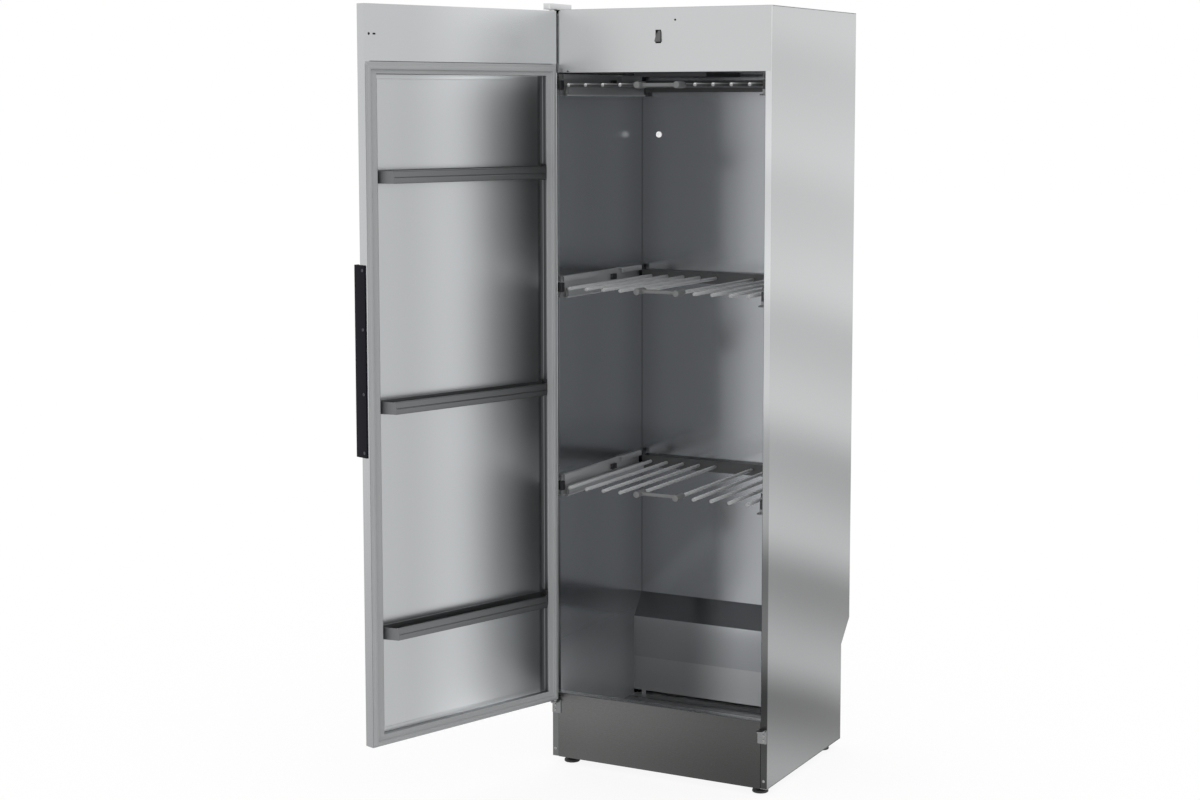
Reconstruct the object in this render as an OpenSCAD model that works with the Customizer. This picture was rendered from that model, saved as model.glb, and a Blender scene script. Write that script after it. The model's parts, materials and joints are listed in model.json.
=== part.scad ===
// Tall free-standing drying cabinet with a side-hung door, three pull-out hanger frames,
// glove trays inside the door and the warm-air unit in the roof.
// Millimetres. +Z is up, the front faces -Y, the origin is on the floor under the body's middle.

/* [Body] */
// Width of the body
body_w = 595; // [560:1:640]
// Depth of the body without the door
body_d = 530; // [500:1:600]
// Height of the body's roof above the floor
body_h = 1900; // [1850:5:2000]
// Height of the body's underside above the floor
foot_h = 20; // [18:1:30]
// Thickness of the outer sheet metal
skin = 1.2; // [1:0.1:1.5]
// Width of the front flanges beside the opening
flange_w = 18; // [16:1:22]
// Depth of the folded edge behind the front flanges
flange_return = 12; // [10:1:16]
// Height of the fascia above the opening
fascia_h = 153; // [148:1:170]
// Depth of the step in the lower part of the back
step_d = 55; // [40:1:60]
// Height of the step's upper edge
step_top = 332; // [310:1:340]
// Height of the step's lower edge
step_bottom = 271; // [255:1:280]

/* [Interior] */
// Thickness of the inner sheet metal
liner_t = 1; // [0.8:0.1:1.2]
// Depth of the air duct behind the back wall
duct_d = 67; // [62:1:80]
// Height of the front sill
sill_z = 187; // [186:1:200]
// Depth of the sill's top fold
sill_d = 25; // [20:1:30]
// Height of the interior floor
floor_z = 80; // [70:1:90]
// How far the lower back wall stands forward of the upper one
ledge_d = 45; // [40:1:50]
// Height of the ledge's upper edge on the back wall
ledge_top = 353; // [350:1:360]
// Height of the ledge's lower edge on the back wall
ledge_bottom = 294; // [290:1:300]
// Height of the joint between the back wall and the air outlet panel
outlet_top = 184; // [170:1:200]
// Height of the air slot under the outlet panel
outlet_gap = 12; // [8:1:16]

/* [Door] */
// How far the door is open in the rest position, in degrees
door_open = 108.23; // [90:0.01:108.4]
// Thickness of the door
door_t = 28; // [27:0.5:32]
// Gap between the door's edge and the body's side
door_reveal = 4; // [2:0.5:6]
// Height of the door's lower edge
door_bottom = 170; // [168:1:173]
// Gap between the door's upper edge and the roof
door_top_gap = 3; // [2.5:0.5:4]
// Gap between the door's inner face and the body when the door is shut
seal_gap = 8; // [7:0.5:10]
// Height of the door's plain head above the seal
head_h = 129; // [120:1:132]
// Width of the folded lip round the door pan
pan_lip = 14; // [14:0.5:16]
// Depth of the recess in the door's inner panel
recess_d = 14; // [12.5:0.5:15]
// Width of the seal band on each side of the recess
band_side = 33; // [30:1:40]
// Width of the seal band under the recess
band_bottom = 27; // [25:1:30]
// Width of the seal band over the recess
band_top = 27; // [25:1:30]
// Width of the raised seal bulb
bulb_w = 10; // [8:1:12]

/* [Hinge] */
// Distance of the hinge axis from the door's side edge
pivot_in = 9; // [8.5:0.5:10]
// Distance of the hinge axis in front of the door's inner face
pivot_front = 6; // [6:0.5:6.5]
// Radius of the hinge pins
pin_r = 3; // [2.5:0.5:3]
// Radial clearance of the hinge pins in their bushes
pin_clear = 0.05; // [0.03:0.01:0.1]
// Radius of the hinge bushes
bush_r = 4.5; // [4:0.1:4.7]
// Height of the upper hinge arm
arm_h = 15; // [12:1:18]
// Width of the upper hinge arm
arm_w = 20; // [18:1:24]

/* [Trays] */
// Depth of the trays on the door
tray_d = 45; // [40:1:50]
// Height of the trays
tray_h = 31; // [28:1:36]
// Distance of the top tray's rim below the door's plain head
tray_drop = 248; // [240:1:290]
// Distance between the trays
tray_pitch = 533; // [500:1:540]
// Sheet thickness of the trays
tray_t = 1.5; // [1.2:0.1:2]
// How far the trays' hinge-side end slopes in towards the front
tray_slope_hinge = 25; // [15:1:30]
// How far the trays' free end slopes in towards the front
tray_slope_free = 22; // [15:1:30]

/* [Handle] */
// Length of the handle
handle_l = 447; // [400:1:500]
// Height of the handle's lower end
handle_z = 856; // [800:1:900]
// Thickness of the handle profile
handle_t = 3; // [2.5:0.1:4]
// How far the handle stands out from the door's front
handle_out = 19; // [15:1:25]
// Width of the handle on the door's edge
handle_lap = 22; // [20:1:24]

/* [Hangers] */
// Radius of the hanger rods
rod_r = 4.5; // [4:0.1:5]
// Distance between neighbouring rods
rod_pitch = 47.5; // [44:0.5:48]
// Distance between the two rods beside the middle gap
rod_gap = 106; // [100:1:110]
// Distance of the top hanger frame's rods below the fascia
hanger_drop = 31; // [30:1:60]
// Distance between the hanger frames
hanger_pitch = 500; // [490:1:505]
// How far the rods stand forward of the body's front
rod_out = 8; // [4:0.5:9]
// Height of the carriage beam that holds the rods
beam_h = 30; // [26:1:32]
// Depth of the carriage beam
beam_d = 20; // [16:1:22]

/* [Controls] */
// Width of the control panel
panel_w = 224; // [220:1:240]
// Height of the control panel
panel_h = 60; // [56:1:64]
// Thickness of the control panel
panel_t = 2.5; // [2:0.1:3]
// Radius of the push buttons
button_r = 7; // [6:0.1:7.4]
// Travel of the push buttons
button_travel = 1; // [0.8:0.1:1.2]

/* [Air unit] */
// Radius of the fan housing
fan_r = 110; // [105:1:115]
// Height of the fan housing
fan_h = 80; // [78:1:84]
// Radius of the impeller
impeller_r = 85; // [75:1:90]
// Radius of the fan shaft
shaft_r = 4; // [3:0.5:5]
// Outer radius of the exhaust collar
collar_r = 49.5; // [45:0.5:55]
// Height of the exhaust collar above the roof
collar_h = 14; // [12:1:15]

/* [Hidden] */
$fn = 48;

// Outer planes of the body and of its opening
x_out = body_w / 2;
x_in = x_out - flange_w;
y_front = -body_d / 2;
y_rear = body_d / 2;
y_back = y_rear - duct_d;
opening_top = body_h - fascia_h;
edge_strip = 3;
rear_flange = 16;
rear_low = y_rear - step_d;
fit = 0.3;

// Door, in its own coordinates: x from the hinge edge, y from the inner face, -y outwards
door_w = body_w - 2 * door_reveal;
door_top = body_h - door_top_gap;
door_x = -x_out + door_reveal;
door_y = y_front - seal_gap;
pivot_x = door_x + pivot_in;
pivot_y = door_y - pivot_front;
head_z = door_top - head_h;
recess_x1 = door_w - band_side;
recess_z0 = door_bottom + band_bottom;
recess_z1 = head_z - band_top - 2;
inner_y = -recess_d;
tray_rims = [for (i = [2:-1:0]) head_z - tray_drop - i * tray_pitch];

// Hanger frames
beam_y0 = y_back - fit - beam_d;
rod_front = y_front - rod_out;
rail_high = 28;
rail_low = 26;
rail_t = 1.2;
rail_top_d = 10;
rail_floor_d = 20;
rail_lip = 13;
rail_curb = 4;
rail_y0 = y_front + 14;
rail_y1 = y_back - 22;
rail_notch_y0 = y_front + 192;
rail_notch_y1 = y_front + 329;
runner_w = 7;
runner_x = x_in - 10.5 - runner_w;
runner_h = 22;
grip_l = 43;
hanger_levels = [for (i = [2:-1:0]) opening_top - hanger_drop - i * hanger_pitch];
rods_x = [for (s = [-1, 1]) for (i = [0:4]) s * (rod_gap / 2 + i * rod_pitch)];

// Screws
screw_r = 1.9;
screw_hole_r = 2;
screw_head_r = 3.6;
screw_head_h = 1.6;
rear_screw_x = x_out - skin - 7;
rear_screw_low = 148;
rear_screw_top = 160;
rear_screw_pitch = (body_h - step_top - rear_screw_low - rear_screw_top) / 3;
rear_screw_z = [for (i = [0:3]) step_top + rear_screw_low + i * rear_screw_pitch];
lower_screw_z = [foot_h + 50, step_bottom - 51];
flange_screw_x = (x_out + x_in) / 2;
flange_screw_z = foot_h + 20;
handle_screw_y = -door_t + handle_lap - 8;
handle_screws_z = [
    handle_z + 12,
    handle_z + handle_l / 2 - 75,
    handle_z + handle_l / 2 + 75,
    handle_z + handle_l - 12
];

// Controls on the door's head
panel_x = door_w / 2;
panel_z = (head_z + door_top) / 2;
cut_w = 208;
cut_h = 46;
board_y = 8.4;
board_t = 1.6;
buttons_x = [-78, 58, 80];
window_x0 = -40;
window_x1 = 35;
window_h = 24;
window_t = 1;
push_h = 1.2;
flange_gap = 0.3;
button_clear = 0.1;

// Fixing holes in the back for wall screws
wall_fix_x = 250;
wall_fix_z = body_h - 40;
wall_fix_r = 2.6;

// Warm-air unit
roof_z = opening_top + skin;
fan_x = -60;
fan_y = 20;
fan_wall = 2;
outlet_w = 100;
impeller_z0 = roof_z + 8;
impeller_z1 = roof_z + fan_h - 12;
hub_h = 28;
motor_r = 42;
motor_h = 58;
shaft_clear = 0.05;
inlet_r = 60;
ceiling_y0 = y_front + flange_return + 2;
filter_half = 100;
filter_h = 9;
collar_x = 120;
collar_y = 120;
collar_wall = 1.5;
collar_flange = 10;
socket_x = 200;
socket_z = body_h - 60;
switch_z = body_h - 69;
sensor_x = -x_out + 68;
sensor_z = opening_top - 157;
foot_x = x_out - 35;
foot_y = [y_front + 40, y_rear - step_d - 45];
foot_r = 20;
stud_r = 5;

// A box between two corners
module span(low, high) {
    translate(low) cube(high - low);
}

// An outline in the YZ plane, carried along X
module across(x0, x1) {
    translate([x0, 0, 0]) rotate([90, 0, 90]) linear_extrude(x1 - x0) children();
}

// An outline in the XY plane, carried along Z
module upright(z0, z1) {
    translate([0, 0, z0]) linear_extrude(z1 - z0) children();
}

// A cylinder between two heights
module post(x, y, z0, z1, r) {
    translate([x, y, z0]) cylinder(h = z1 - z0, r = r);
}

// A cylinder along Y, from y0 to y1
module peg_y(x, z, y0, y1, r) {
    translate([x, y0, z]) rotate([-90, 0, 0]) cylinder(h = y1 - y0, r = r);
}

// A cylinder along X, from x0 to x1
module peg_x(y, z, x0, x1, r) {
    translate([x0, y, z]) rotate([0, 90, 0]) cylinder(h = x1 - x0, r = r);
}

// Places a piece of the door, open by door_open
module on_door() {
    translate([pivot_x, pivot_y, 0]) rotate([0, 0, -door_open])
        translate([door_x - pivot_x, door_y - pivot_y, 0]) children();
}

// Places a right-hand piece as the mirror of the left-hand one
module right_hand() {
    mirror([1, 0, 0]) children();
}

// ---- outer casing ----

module side_outline() {
    polygon([
        [y_front, foot_h],
        [y_front, body_h],
        [y_rear, body_h],
        [y_rear, step_top],
        [y_rear - step_d, step_bottom],
        [y_rear - step_d, foot_h]
    ]);
}

// Left side panel with its front flange, folded return and rear flanges
module side_panel() {
    inner_edge = -x_out + flange_w;
    flange_x = -x_out + rear_flange;
    clear = 12;
    color("gainsboro") difference() {
        union() {
            across(-x_out, -x_out + skin) side_outline();
            span([-x_out, y_front, foot_h], [inner_edge, y_front + skin, opening_top]);
            span([-x_out, y_front, opening_top], [-x_out + edge_strip, y_front + skin, body_h - skin]);
            span(
                [inner_edge - skin, y_front, foot_h + skin],
                [inner_edge, y_front + flange_return, opening_top]
            );
            span(
                [-x_out, y_rear - 2 * skin, step_top + clear],
                [flange_x, y_rear - skin, body_h - clear]
            );
            span(
                [-x_out, rear_low - 2 * skin, foot_h + clear],
                [flange_x, rear_low - skin, step_bottom - clear]
            );
        }
        for (z = rear_screw_z) peg_y(-rear_screw_x, z, y_rear - 5, y_rear + 1, screw_hole_r);
        for (z = lower_screw_z) peg_y(-rear_screw_x, z, rear_low - 5, rear_low + 1, screw_hole_r);
        peg_y(-flange_screw_x, flange_screw_z, y_front - 1, y_front + 4, screw_hole_r);
        bracket_screw_holes();
    }
}

module side_panel_left() {
    side_panel();
}

module side_panel_right() {
    right_hand() side_panel();
}

// Roof sheet with the exhaust opening and the hinge arm's screw holes
module top_panel() {
    color("silver") difference() {
        span([-x_out + skin, y_front, body_h - skin], [x_out - skin, y_rear, body_h]);
        post(collar_x, collar_y, body_h - 5, body_h + 5, collar_r);
        for (y = arm_screws_y) post(arm_x, y, body_h - 5, body_h + 5, screw_hole_r);
    }
}

// Back sheet, folded to follow the step
module rear_panel() {
    color("silver") difference() {
        across(-x_out + skin, x_out - skin) polygon([
            [y_rear, body_h - skin],
            [y_rear, step_top],
            [rear_low, step_bottom],
            [rear_low, foot_h],
            [rear_low - skin, foot_h],
            [rear_low - skin, step_bottom],
            [y_rear - skin, step_top],
            [y_rear - skin, body_h - skin]
        ]);
        for (s = [-1, 1]) {
            for (z = rear_screw_z) peg_y(s * rear_screw_x, z, y_rear - 5, y_rear + 1, screw_hole_r);
            for (z = lower_screw_z) peg_y(s * rear_screw_x, z, rear_low - 5, rear_low + 1, screw_hole_r);
            peg_y(s * wall_fix_x, wall_fix_z, y_rear - 5, y_rear + 1, wall_fix_r);
        }
        span(
            [socket_x - socket_w / 2, y_rear - 5, socket_z - socket_h / 2],
            [socket_x + socket_w / 2, y_rear + 5, socket_z + socket_h / 2]
        );
    }
}

// Bottom frame with two bearers under the interior floor and the foot bosses
module base_pan() {
    x1 = x_out - skin;
    y0 = y_front + skin;
    y1 = rear_low - 2 * skin;
    bearer_x = 180;
    bearer_w = 12;
    boss_h = 22;
    color("darkgray") difference() {
        union() {
            span([-x1, y0, foot_h], [x1, y1, foot_h + skin]);
            for (s = [-1, 1])
                span(
                    [s * bearer_x - bearer_w / 2, y0 + sill_d + 4, foot_h],
                    [s * bearer_x + bearer_w / 2, y1, floor_z - liner_t]
                );
            for (s = [-1, 1]) for (y = foot_y) post(s * foot_x, y, foot_h, foot_h + boss_h, stud_r + 7);
        }
        for (s = [-1, 1]) for (y = foot_y) post(s * foot_x, y, foot_h - 1, foot_h + boss_h + 1, stud_r);
    }
}

// Plinth sheet whose top edge folds back into the sill
module kick_plate() {
    color("gray") union() {
        span([-x_in, y_front, foot_h], [x_in, y_front + skin, sill_z]);
        span([-x_in, y_front, sill_z - skin], [x_in, y_front + sill_d, sill_z]);
        span([-x_in, y_front + sill_d - skin, sill_z - 12], [x_in, y_front + sill_d, sill_z]);
    }
}

// Fascia over the opening, with the switch slot, a cable hole and the cut corner at the hinge
module fascia() {
    x1 = x_out - edge_strip;
    hole_x = 45;
    hole_r = 2.5;
    slot_x = lever_w / 2 + 1;
    corner_h = 16;
    notch_x = -x_out + 49;
    notch = 8;
    color("gainsboro") difference() {
        union() {
            span([-x1, y_front, opening_top], [x1, y_front + skin, body_h - skin]);
            span([-x_in, y_front, opening_top], [x_in, ceiling_y0, opening_top + skin]);
        }
        span([-slot_x, y_front - 1, switch_z - 16], [slot_x, y_front + 5, switch_z + 16]);
        peg_y(hole_x, body_h - 30, y_front - 1, y_front + 5, hole_r);
        translate([0, y_front + 5, 0]) rotate([90, 0, 0]) linear_extrude(10) polygon([
            [-x1 - 1, body_h],
            [-x1 - 1, body_h - corner_h],
            [-x1 + 8, body_h - corner_h],
            [-x1 + 26, body_h]
        ]);
        translate([notch_x, y_front, opening_top]) rotate([0, 45, 0])
            cube([notch, notch, notch], center = true);
    }
}

// ---- interior ----

module liner_outline() {
    polygon([
        [y_front + flange_return, floor_z - liner_t],
        [y_front + flange_return, opening_top],
        [y_back, opening_top],
        [y_back, ledge_top],
        [y_back - ledge_d, ledge_bottom],
        [y_back - ledge_d, floor_z - liner_t]
    ]);
}

module liner_left() {
    color("darkgray") across(-x_in - liner_t, -x_in) liner_outline();
}

module liner_right() {
    right_hand() liner_left();
}

// Upper back wall with the ledge
module liner_back() {
    color("darkgray") difference() {
        across(-x_in - liner_t, x_in + liner_t) polygon([
            [y_back, opening_top],
            [y_back, ledge_top],
            [y_back - ledge_d, ledge_bottom],
            [y_back - ledge_d, outlet_top],
            [y_back - ledge_d + liner_t, outlet_top],
            [y_back - ledge_d + liner_t, ledge_bottom],
            [y_back + liner_t, ledge_top],
            [y_back + liner_t, opening_top]
        ]);
        peg_y(sensor_x, sensor_z, y_back - 5, y_back + 5, sensor_stem_r);
    }
}

// Removable panel over the air outlet; the warm air leaves through the slot under it
module air_outlet_panel() {
    x1 = x_in + liner_t;
    y0 = y_back - ledge_d;
    leg_x = 250;
    leg_w = 12;
    color("darkgray") union() {
        span([-x1, y0, floor_z + outlet_gap], [x1, y0 + liner_t, outlet_top]);
        for (s = [-1, 1])
            translate([s * leg_x, 0, 0])
                span([-leg_w / 2, y0, floor_z], [leg_w / 2, y0 + liner_t, floor_z + outlet_gap]);
    }
}

// Ceiling sheet with the air inlet
module ceiling_panel() {
    x1 = x_in + liner_t;
    color("dimgray") difference() {
        span([-x1, ceiling_y0, opening_top], [x1, y_back + liner_t, roof_z]);
        post(fan_x, fan_y, opening_top - 5, opening_top + 5, inlet_r);
    }
}

// Floor tray that catches drips
module drip_floor() {
    y0 = y_front + sill_d - skin - liner_t;
    y1 = rear_low - 2 * skin;
    color("gray") union() {
        span([-x_in, y0, floor_z - liner_t], [x_in, y1, floor_z]);
        span([-x_in, y0, floor_z - liner_t], [x_in, y0 + liner_t, sill_z - skin]);
    }
}

// Frame with bars that holds the lint fleece under the air inlet
module lint_filter() {
    half = filter_half;
    edge = 6;
    bar = 4;
    bars = 9;
    pitch = (2 * half - bar) / (bars + 1);
    color("dimgray") translate([fan_x, fan_y, opening_top - filter_h]) union() {
        difference() {
            span([-half, -half, 0], [half, half, filter_h]);
            span([edge - half, edge - half, -1], [half - edge, half - edge, filter_h + 1]);
        }
        for (i = [1:bars])
            translate([-half + i * pitch, 0, 0]) span([0, 3 - half, 0], [bar, half - 3, 3]);
    }
}

// White cap of the humidity sensor on the back wall
sensor_cap_r = 8;
sensor_stem_r = 5;
module humidity_sensor() {
    color("white") union() {
        peg_y(sensor_x, sensor_z, y_back - 4, y_back, sensor_cap_r);
        peg_y(sensor_x, sensor_z, y_back - 1, y_back + 12, sensor_stem_r);
    }
}

// Levelling feet: pad, hexagon nut and stud
module levelling_feet() {
    pad_h = 7;
    nut_r = 11;
    stud_rise = 26;
    color("black") for (s = [-1, 1]) for (y = foot_y) union() {
        post(s * foot_x, y, 0, pad_h, foot_r);
        translate([s * foot_x, y, pad_h]) cylinder(h = foot_h - pad_h, r = nut_r, $fn = 6);
        post(s * foot_x, y, pad_h - 1, foot_h + stud_rise, stud_r);
    }
}

// ---- hinge hardware on the body ----

arm_x = -x_out + arm_w / 2;
arm_y0 = pivot_y - arm_w / 2 - 12;
arm_y1 = y_front + 78;
arm_screws_y = [y_front + 22, y_front + 60];
arm_sink_r = 4;
arm_sink = 3;
module hinge_arm() {
    nose = 3;
    color("lightgray") difference() {
        upright(body_h, body_h + arm_h) polygon([
            [arm_x - arm_w / 2, arm_y0 + nose],
            [arm_x - arm_w / 2 + nose, arm_y0],
            [arm_x + arm_w / 2 - nose, arm_y0],
            [arm_x + arm_w / 2, arm_y0 + nose],
            [arm_x + arm_w / 2, arm_y1 - 2 * nose],
            [arm_x + arm_w / 2 - nose, arm_y1],
            [arm_x - arm_w / 2 + nose, arm_y1],
            [arm_x - arm_w / 2, arm_y1 - 2 * nose]
        ]);
        post(pivot_x, pivot_y, body_h - 1, body_h + arm_h + 1, pin_r);
        for (y = arm_screws_y) {
            post(arm_x, y, body_h - 1, body_h + arm_h + 1, screw_hole_r);
            post(arm_x, y, body_h + arm_h - arm_sink, body_h + arm_h + 1, arm_sink_r);
        }
    }
}

// Lower bearing bracket: a leg on the body's front and an ear under the door
bracket_t = 2.5;
bracket_w = 24;
ear_t = 5;
ear_top = door_bottom - 1.8;
bracket_z0 = ear_top - 35;
bracket_screws_z = [bracket_z0 + 8, bracket_z0 + 20];
bracket_screw_x = -x_out + 9;
module bracket() {
    ear_r = 9;
    leg_x = -x_out + 1;
    color("lightgray") difference() {
        union() {
            span([leg_x, y_front - bracket_t, bracket_z0], [leg_x + bracket_w, y_front, ear_top]);
            post(pivot_x, pivot_y, ear_top - ear_t, ear_top, ear_r);
            span([pivot_x - ear_r, pivot_y, ear_top - ear_t], [pivot_x + ear_r, y_front, ear_top]);
        }
        post(pivot_x, pivot_y, ear_top - 20, ear_top + 5, pin_r);
        bracket_screw_holes();
    }
}

module bracket_screw_holes() {
    for (z = bracket_screws_z) peg_y(bracket_screw_x, z, y_front - 5, y_front + 4, screw_hole_r);
}

module hinge_bracket() {
    bracket();
}

module spare_bracket() {
    right_hand() bracket();
}

// The two pins on which the door turns
module hinge_pins() {
    color("silver") {
        post(pivot_x, pivot_y, door_top - 14, body_h + arm_h, pin_r);
        post(pivot_x, pivot_y, ear_top - ear_t - 2, door_bottom + 14, pin_r);
    }
}

// ---- hanger frames and their rails ----

// Left rail at height z: web on the wall, notched top flange with its lip, floor with a low lip
module rail(z) {
    wall = -x_in;
    top = z + rail_high;
    low = z - rail_low;
    lip_x = wall + rail_top_d;
    edge_x = wall + rail_floor_d;
    module top_piece(y0, y1) {
        span([wall, y0, top - rail_t], [lip_x, y1, top]);
        span([lip_x - rail_t, y0, top - rail_lip], [lip_x, y1, top]);
    }
    union() {
        span([wall, rail_y0, low], [wall + rail_t, rail_y1, top]);
        top_piece(rail_y0, rail_notch_y0);
        top_piece(rail_notch_y1, rail_y1);
        span([wall, rail_y0, low], [edge_x, rail_y1, low + rail_t]);
        span([edge_x - rail_t, rail_y0, low], [edge_x, rail_y1, low + rail_curb]);
    }
}

module hanger_rails() {
    color("silver") for (z = hanger_levels) {
        rail(z);
        right_hand() rail(z);
    }
}

// Black clips in the rails, one at the front end and one in the notch, beside the runner
clip_back = 290;
clip_y = y_front + clip_back;
module rail_clips() {
    wall = -x_in + rail_t;
    face = -x_in + rail_top_d - rail_t;
    module pair(z) {
        span([wall, rail_y0 - 8, z - 11], [face, rail_y0 + 8, z + 12]);
        span([wall, clip_y - 12, z + 1], [face, clip_y + 12, z + 15]);
    }
    color("black") for (z = hanger_levels) {
        pair(z);
        right_hand() pair(z);
    }
}

// Ten rods in two groups of five, with an open gap between the groups
module rods(z) {
    color("gainsboro") for (x = rods_x) peg_y(x, z, rod_front, beam_y0, rod_r);
}

// Beam across the back with a runner in each rail
module carriage(z) {
    wall = 2;
    half = beam_h / 2;
    beam_y1 = beam_y0 + beam_d;
    end_x = runner_x + runner_w;
    runner_z = z - rail_low + rail_t + fit;
    color("silver") union() {
        difference() {
            span([-end_x, beam_y0, z - half], [end_x, beam_y1, z + half]);
            span(
                [wall - runner_x, beam_y0 + wall, z - half - 1],
                [runner_x - wall, beam_y1 + 1, z + half - wall]
            );
        }
        for (s = [-1, 1])
            translate([s * (runner_x + runner_w / 2), 0, runner_z])
                span([-runner_w / 2, rail_y0 + 12, 0], [runner_w / 2, beam_y1, runner_h]);
    }
}

// Moulded pull: two sleeves over the rods beside the gap, joined by a crossbar
module grip(z) {
    x = rod_gap / 2;
    sleeve_r = rod_r + 4;
    y0 = rod_front - 4;
    bar_h = 10;
    bar_d = 12;
    color("gray") difference() {
        union() {
            for (s = [-1, 1]) peg_y(s * x, z, y0, y0 + grip_l, sleeve_r);
            span([-x, y0 + 16, z - bar_h / 2], [x, y0 + 16 + bar_d, z + bar_h / 2]);
        }
        for (s = [-1, 1]) peg_y(s * x, z, rod_front, y0 + grip_l + 1, rod_r);
    }
}

module rods_top() {
    rods(hanger_levels[2]);
}

module carriage_top() {
    carriage(hanger_levels[2]);
}

module grip_top() {
    grip(hanger_levels[2]);
}

module rods_middle() {
    rods(hanger_levels[1]);
}

module carriage_middle() {
    carriage(hanger_levels[1]);
}

module grip_middle() {
    grip(hanger_levels[1]);
}

module rods_bottom() {
    rods(hanger_levels[0]);
}

module carriage_bottom() {
    carriage(hanger_levels[0]);
}

module grip_bottom() {
    grip(hanger_levels[0]);
}

// ---- warm-air unit in the roof ----

outlet_x0 = fan_x - fan_r;
outlet_x1 = outlet_x0 + outlet_w;
outlet_y1 = y_back + liner_t;
module fan_outline(wall, y1) {
    translate([fan_x, fan_y]) circle(r = fan_r - wall, $fn = 96);
    translate([outlet_x0 + wall, fan_y]) square([outlet_w - 2 * wall, y1 - fan_y]);
}

module fan_housing() {
    color("gray") difference() {
        upright(roof_z, roof_z + fan_h) fan_outline(0, outlet_y1);
        upright(roof_z + fan_wall, roof_z + fan_h - fan_wall) fan_outline(fan_wall, outlet_y1 + 1);
        post(fan_x, fan_y, roof_z - 1, roof_z + fan_wall + 1, inlet_r);
        post(fan_x, fan_y, roof_z + fan_h - fan_wall - 1, roof_z + fan_h + 1, 20);
    }
}

module impeller() {
    blades = 24;
    blade_in = impeller_r - 22;
    hub_r = shaft_r + 8;
    disc_t = 2;
    color("black") difference() {
        union() {
            post(fan_x, fan_y, impeller_z1 - disc_t, impeller_z1, impeller_r);
            post(fan_x, fan_y, impeller_z1 - hub_h, impeller_z1, hub_r);
            difference() {
                post(fan_x, fan_y, impeller_z0, impeller_z0 + disc_t, impeller_r);
                post(fan_x, fan_y, impeller_z0 - 1, impeller_z0 + disc_t + 1, blade_in);
            }
            for (i = [0:blades - 1])
                translate([fan_x, fan_y, 0]) rotate([0, 0, i * 360 / blades])
                    span([blade_in + 1, -0.8, impeller_z0 + 1], [impeller_r - 1, 0.8, impeller_z1 - 1]);
        }
        post(fan_x, fan_y, impeller_z1 - hub_h - 1, impeller_z1 + 1, shaft_r);
    }
}

module fan_shaft() {
    color("silver") post(fan_x, fan_y, impeller_z1 - hub_h, roof_z + fan_h + motor_h, shaft_r);
}

module fan_motor() {
    z0 = roof_z + fan_h;
    color("dimgray") difference() {
        union() {
            post(fan_x, fan_y, z0, z0 + motor_h - 6, motor_r);
            post(fan_x, fan_y, z0, z0 + motor_h, motor_r - 10);
            post(fan_x, fan_y, z0, z0 + 3, motor_r + 6);
        }
        post(fan_x, fan_y, z0 - 1, z0 + motor_h + 1, shaft_r + shaft_clear);
    }
}

// Tubular heater across the fan's outlet, between two end plates
module heating_element() {
    x0 = outlet_x0 + fan_wall;
    x1 = outlet_x1 - fan_wall;
    y0 = y_back - 66;
    plate_t = 2;
    plate_d = 56;
    plate_h = 50;
    tube_r = 4;
    tube_y = plate_d / 2;
    tube_z = plate_h / 2;
    tube_step = 18;
    tube_rise = 13;
    z0 = roof_z + (fan_h - plate_h) / 2;
    color("orangered") union() {
        for (x = [x0, x1 - plate_t]) span([x, y0, z0], [x + plate_t, y0 + plate_d, z0 + plate_h]);
        for (i = [-1:1]) for (s = [-1, 1])
            peg_x(y0 + tube_y + i * tube_step, z0 + tube_z + s * tube_rise, x0, x1, tube_r);
    }
}

// Box with the mains terminals and the power board
module power_box() {
    box_x = 90;
    box_y = -200;
    box_w = 140;
    box_d = 120;
    box_h = 60;
    box_wall = 2;
    cable_r = 8;
    low = [box_x, box_y, roof_z];
    high = low + [box_w, box_d, box_h];
    wall = [box_wall, box_wall, box_wall];
    color("white") difference() {
        span(low, high);
        span(low + wall, high - wall);
        peg_x((low[1] + high[1]) / 2, roof_z + box_h / 2, high[0] - 5, high[0] + 5, cable_r);
    }
}

module exhaust_collar() {
    color("silver") difference() {
        union() {
            post(collar_x, collar_y, body_h - 12, body_h + collar_h, collar_r);
            post(collar_x, collar_y, body_h, body_h + skin, collar_r + collar_flange);
        }
        post(collar_x, collar_y, body_h - 13, body_h + collar_h + 1, collar_r - collar_wall);
    }
}

// Appliance inlet in the back, with its three contact blades
socket_w = 48;
socket_h = 28;
module power_inlet() {
    depth = 20;
    rim_w = 5;
    rim_h = 4;
    rim_t = 2;
    well_w = 25;
    well_h = 17;
    floor_t = 3;
    blade_w = 2;
    blade_h = 4;
    color("black") translate([socket_x, y_rear, socket_z]) union() {
        difference() {
            union() {
                span([-socket_w / 2, -depth, -socket_h / 2], [socket_w / 2, 0, socket_h / 2]);
                span(
                    [-socket_w / 2 - rim_w, 0, -socket_h / 2 - rim_h],
                    [socket_w / 2 + rim_w, rim_t, socket_h / 2 + rim_h]
                );
            }
            span([-well_w / 2, floor_t - depth, -well_h / 2], [well_w / 2, rim_t + 1, well_h / 2]);
        }
        for (p = [[-7, -2], [0, 2], [7, -2]])
            translate([p[0], 0, p[1]])
                span([-blade_w / 2, floor_t - depth - 1, -blade_h / 2], [blade_w / 2, -3, blade_h / 2]);
    }
}

// ---- door switch in the fascia ----

lever_w = 13;
lever_pin_r = 2;
lever_clear = 0.05;
lever_y = y_front + 9;
lever_z = switch_z + 9;
module switch_housing() {
    inner = lever_w / 2 + 1;
    outer = inner + 2.5;
    y0 = y_front + skin;
    color("black") difference() {
        span([-outer, y0, switch_z - 20], [outer, y0 + 24, switch_z + 20]);
        span([-inner, y_front, switch_z - 17], [inner, y0 + 22, switch_z + 17]);
        peg_x(lever_y, lever_z, -outer - 1, outer + 1, lever_pin_r + lever_clear);
    }
}

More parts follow.
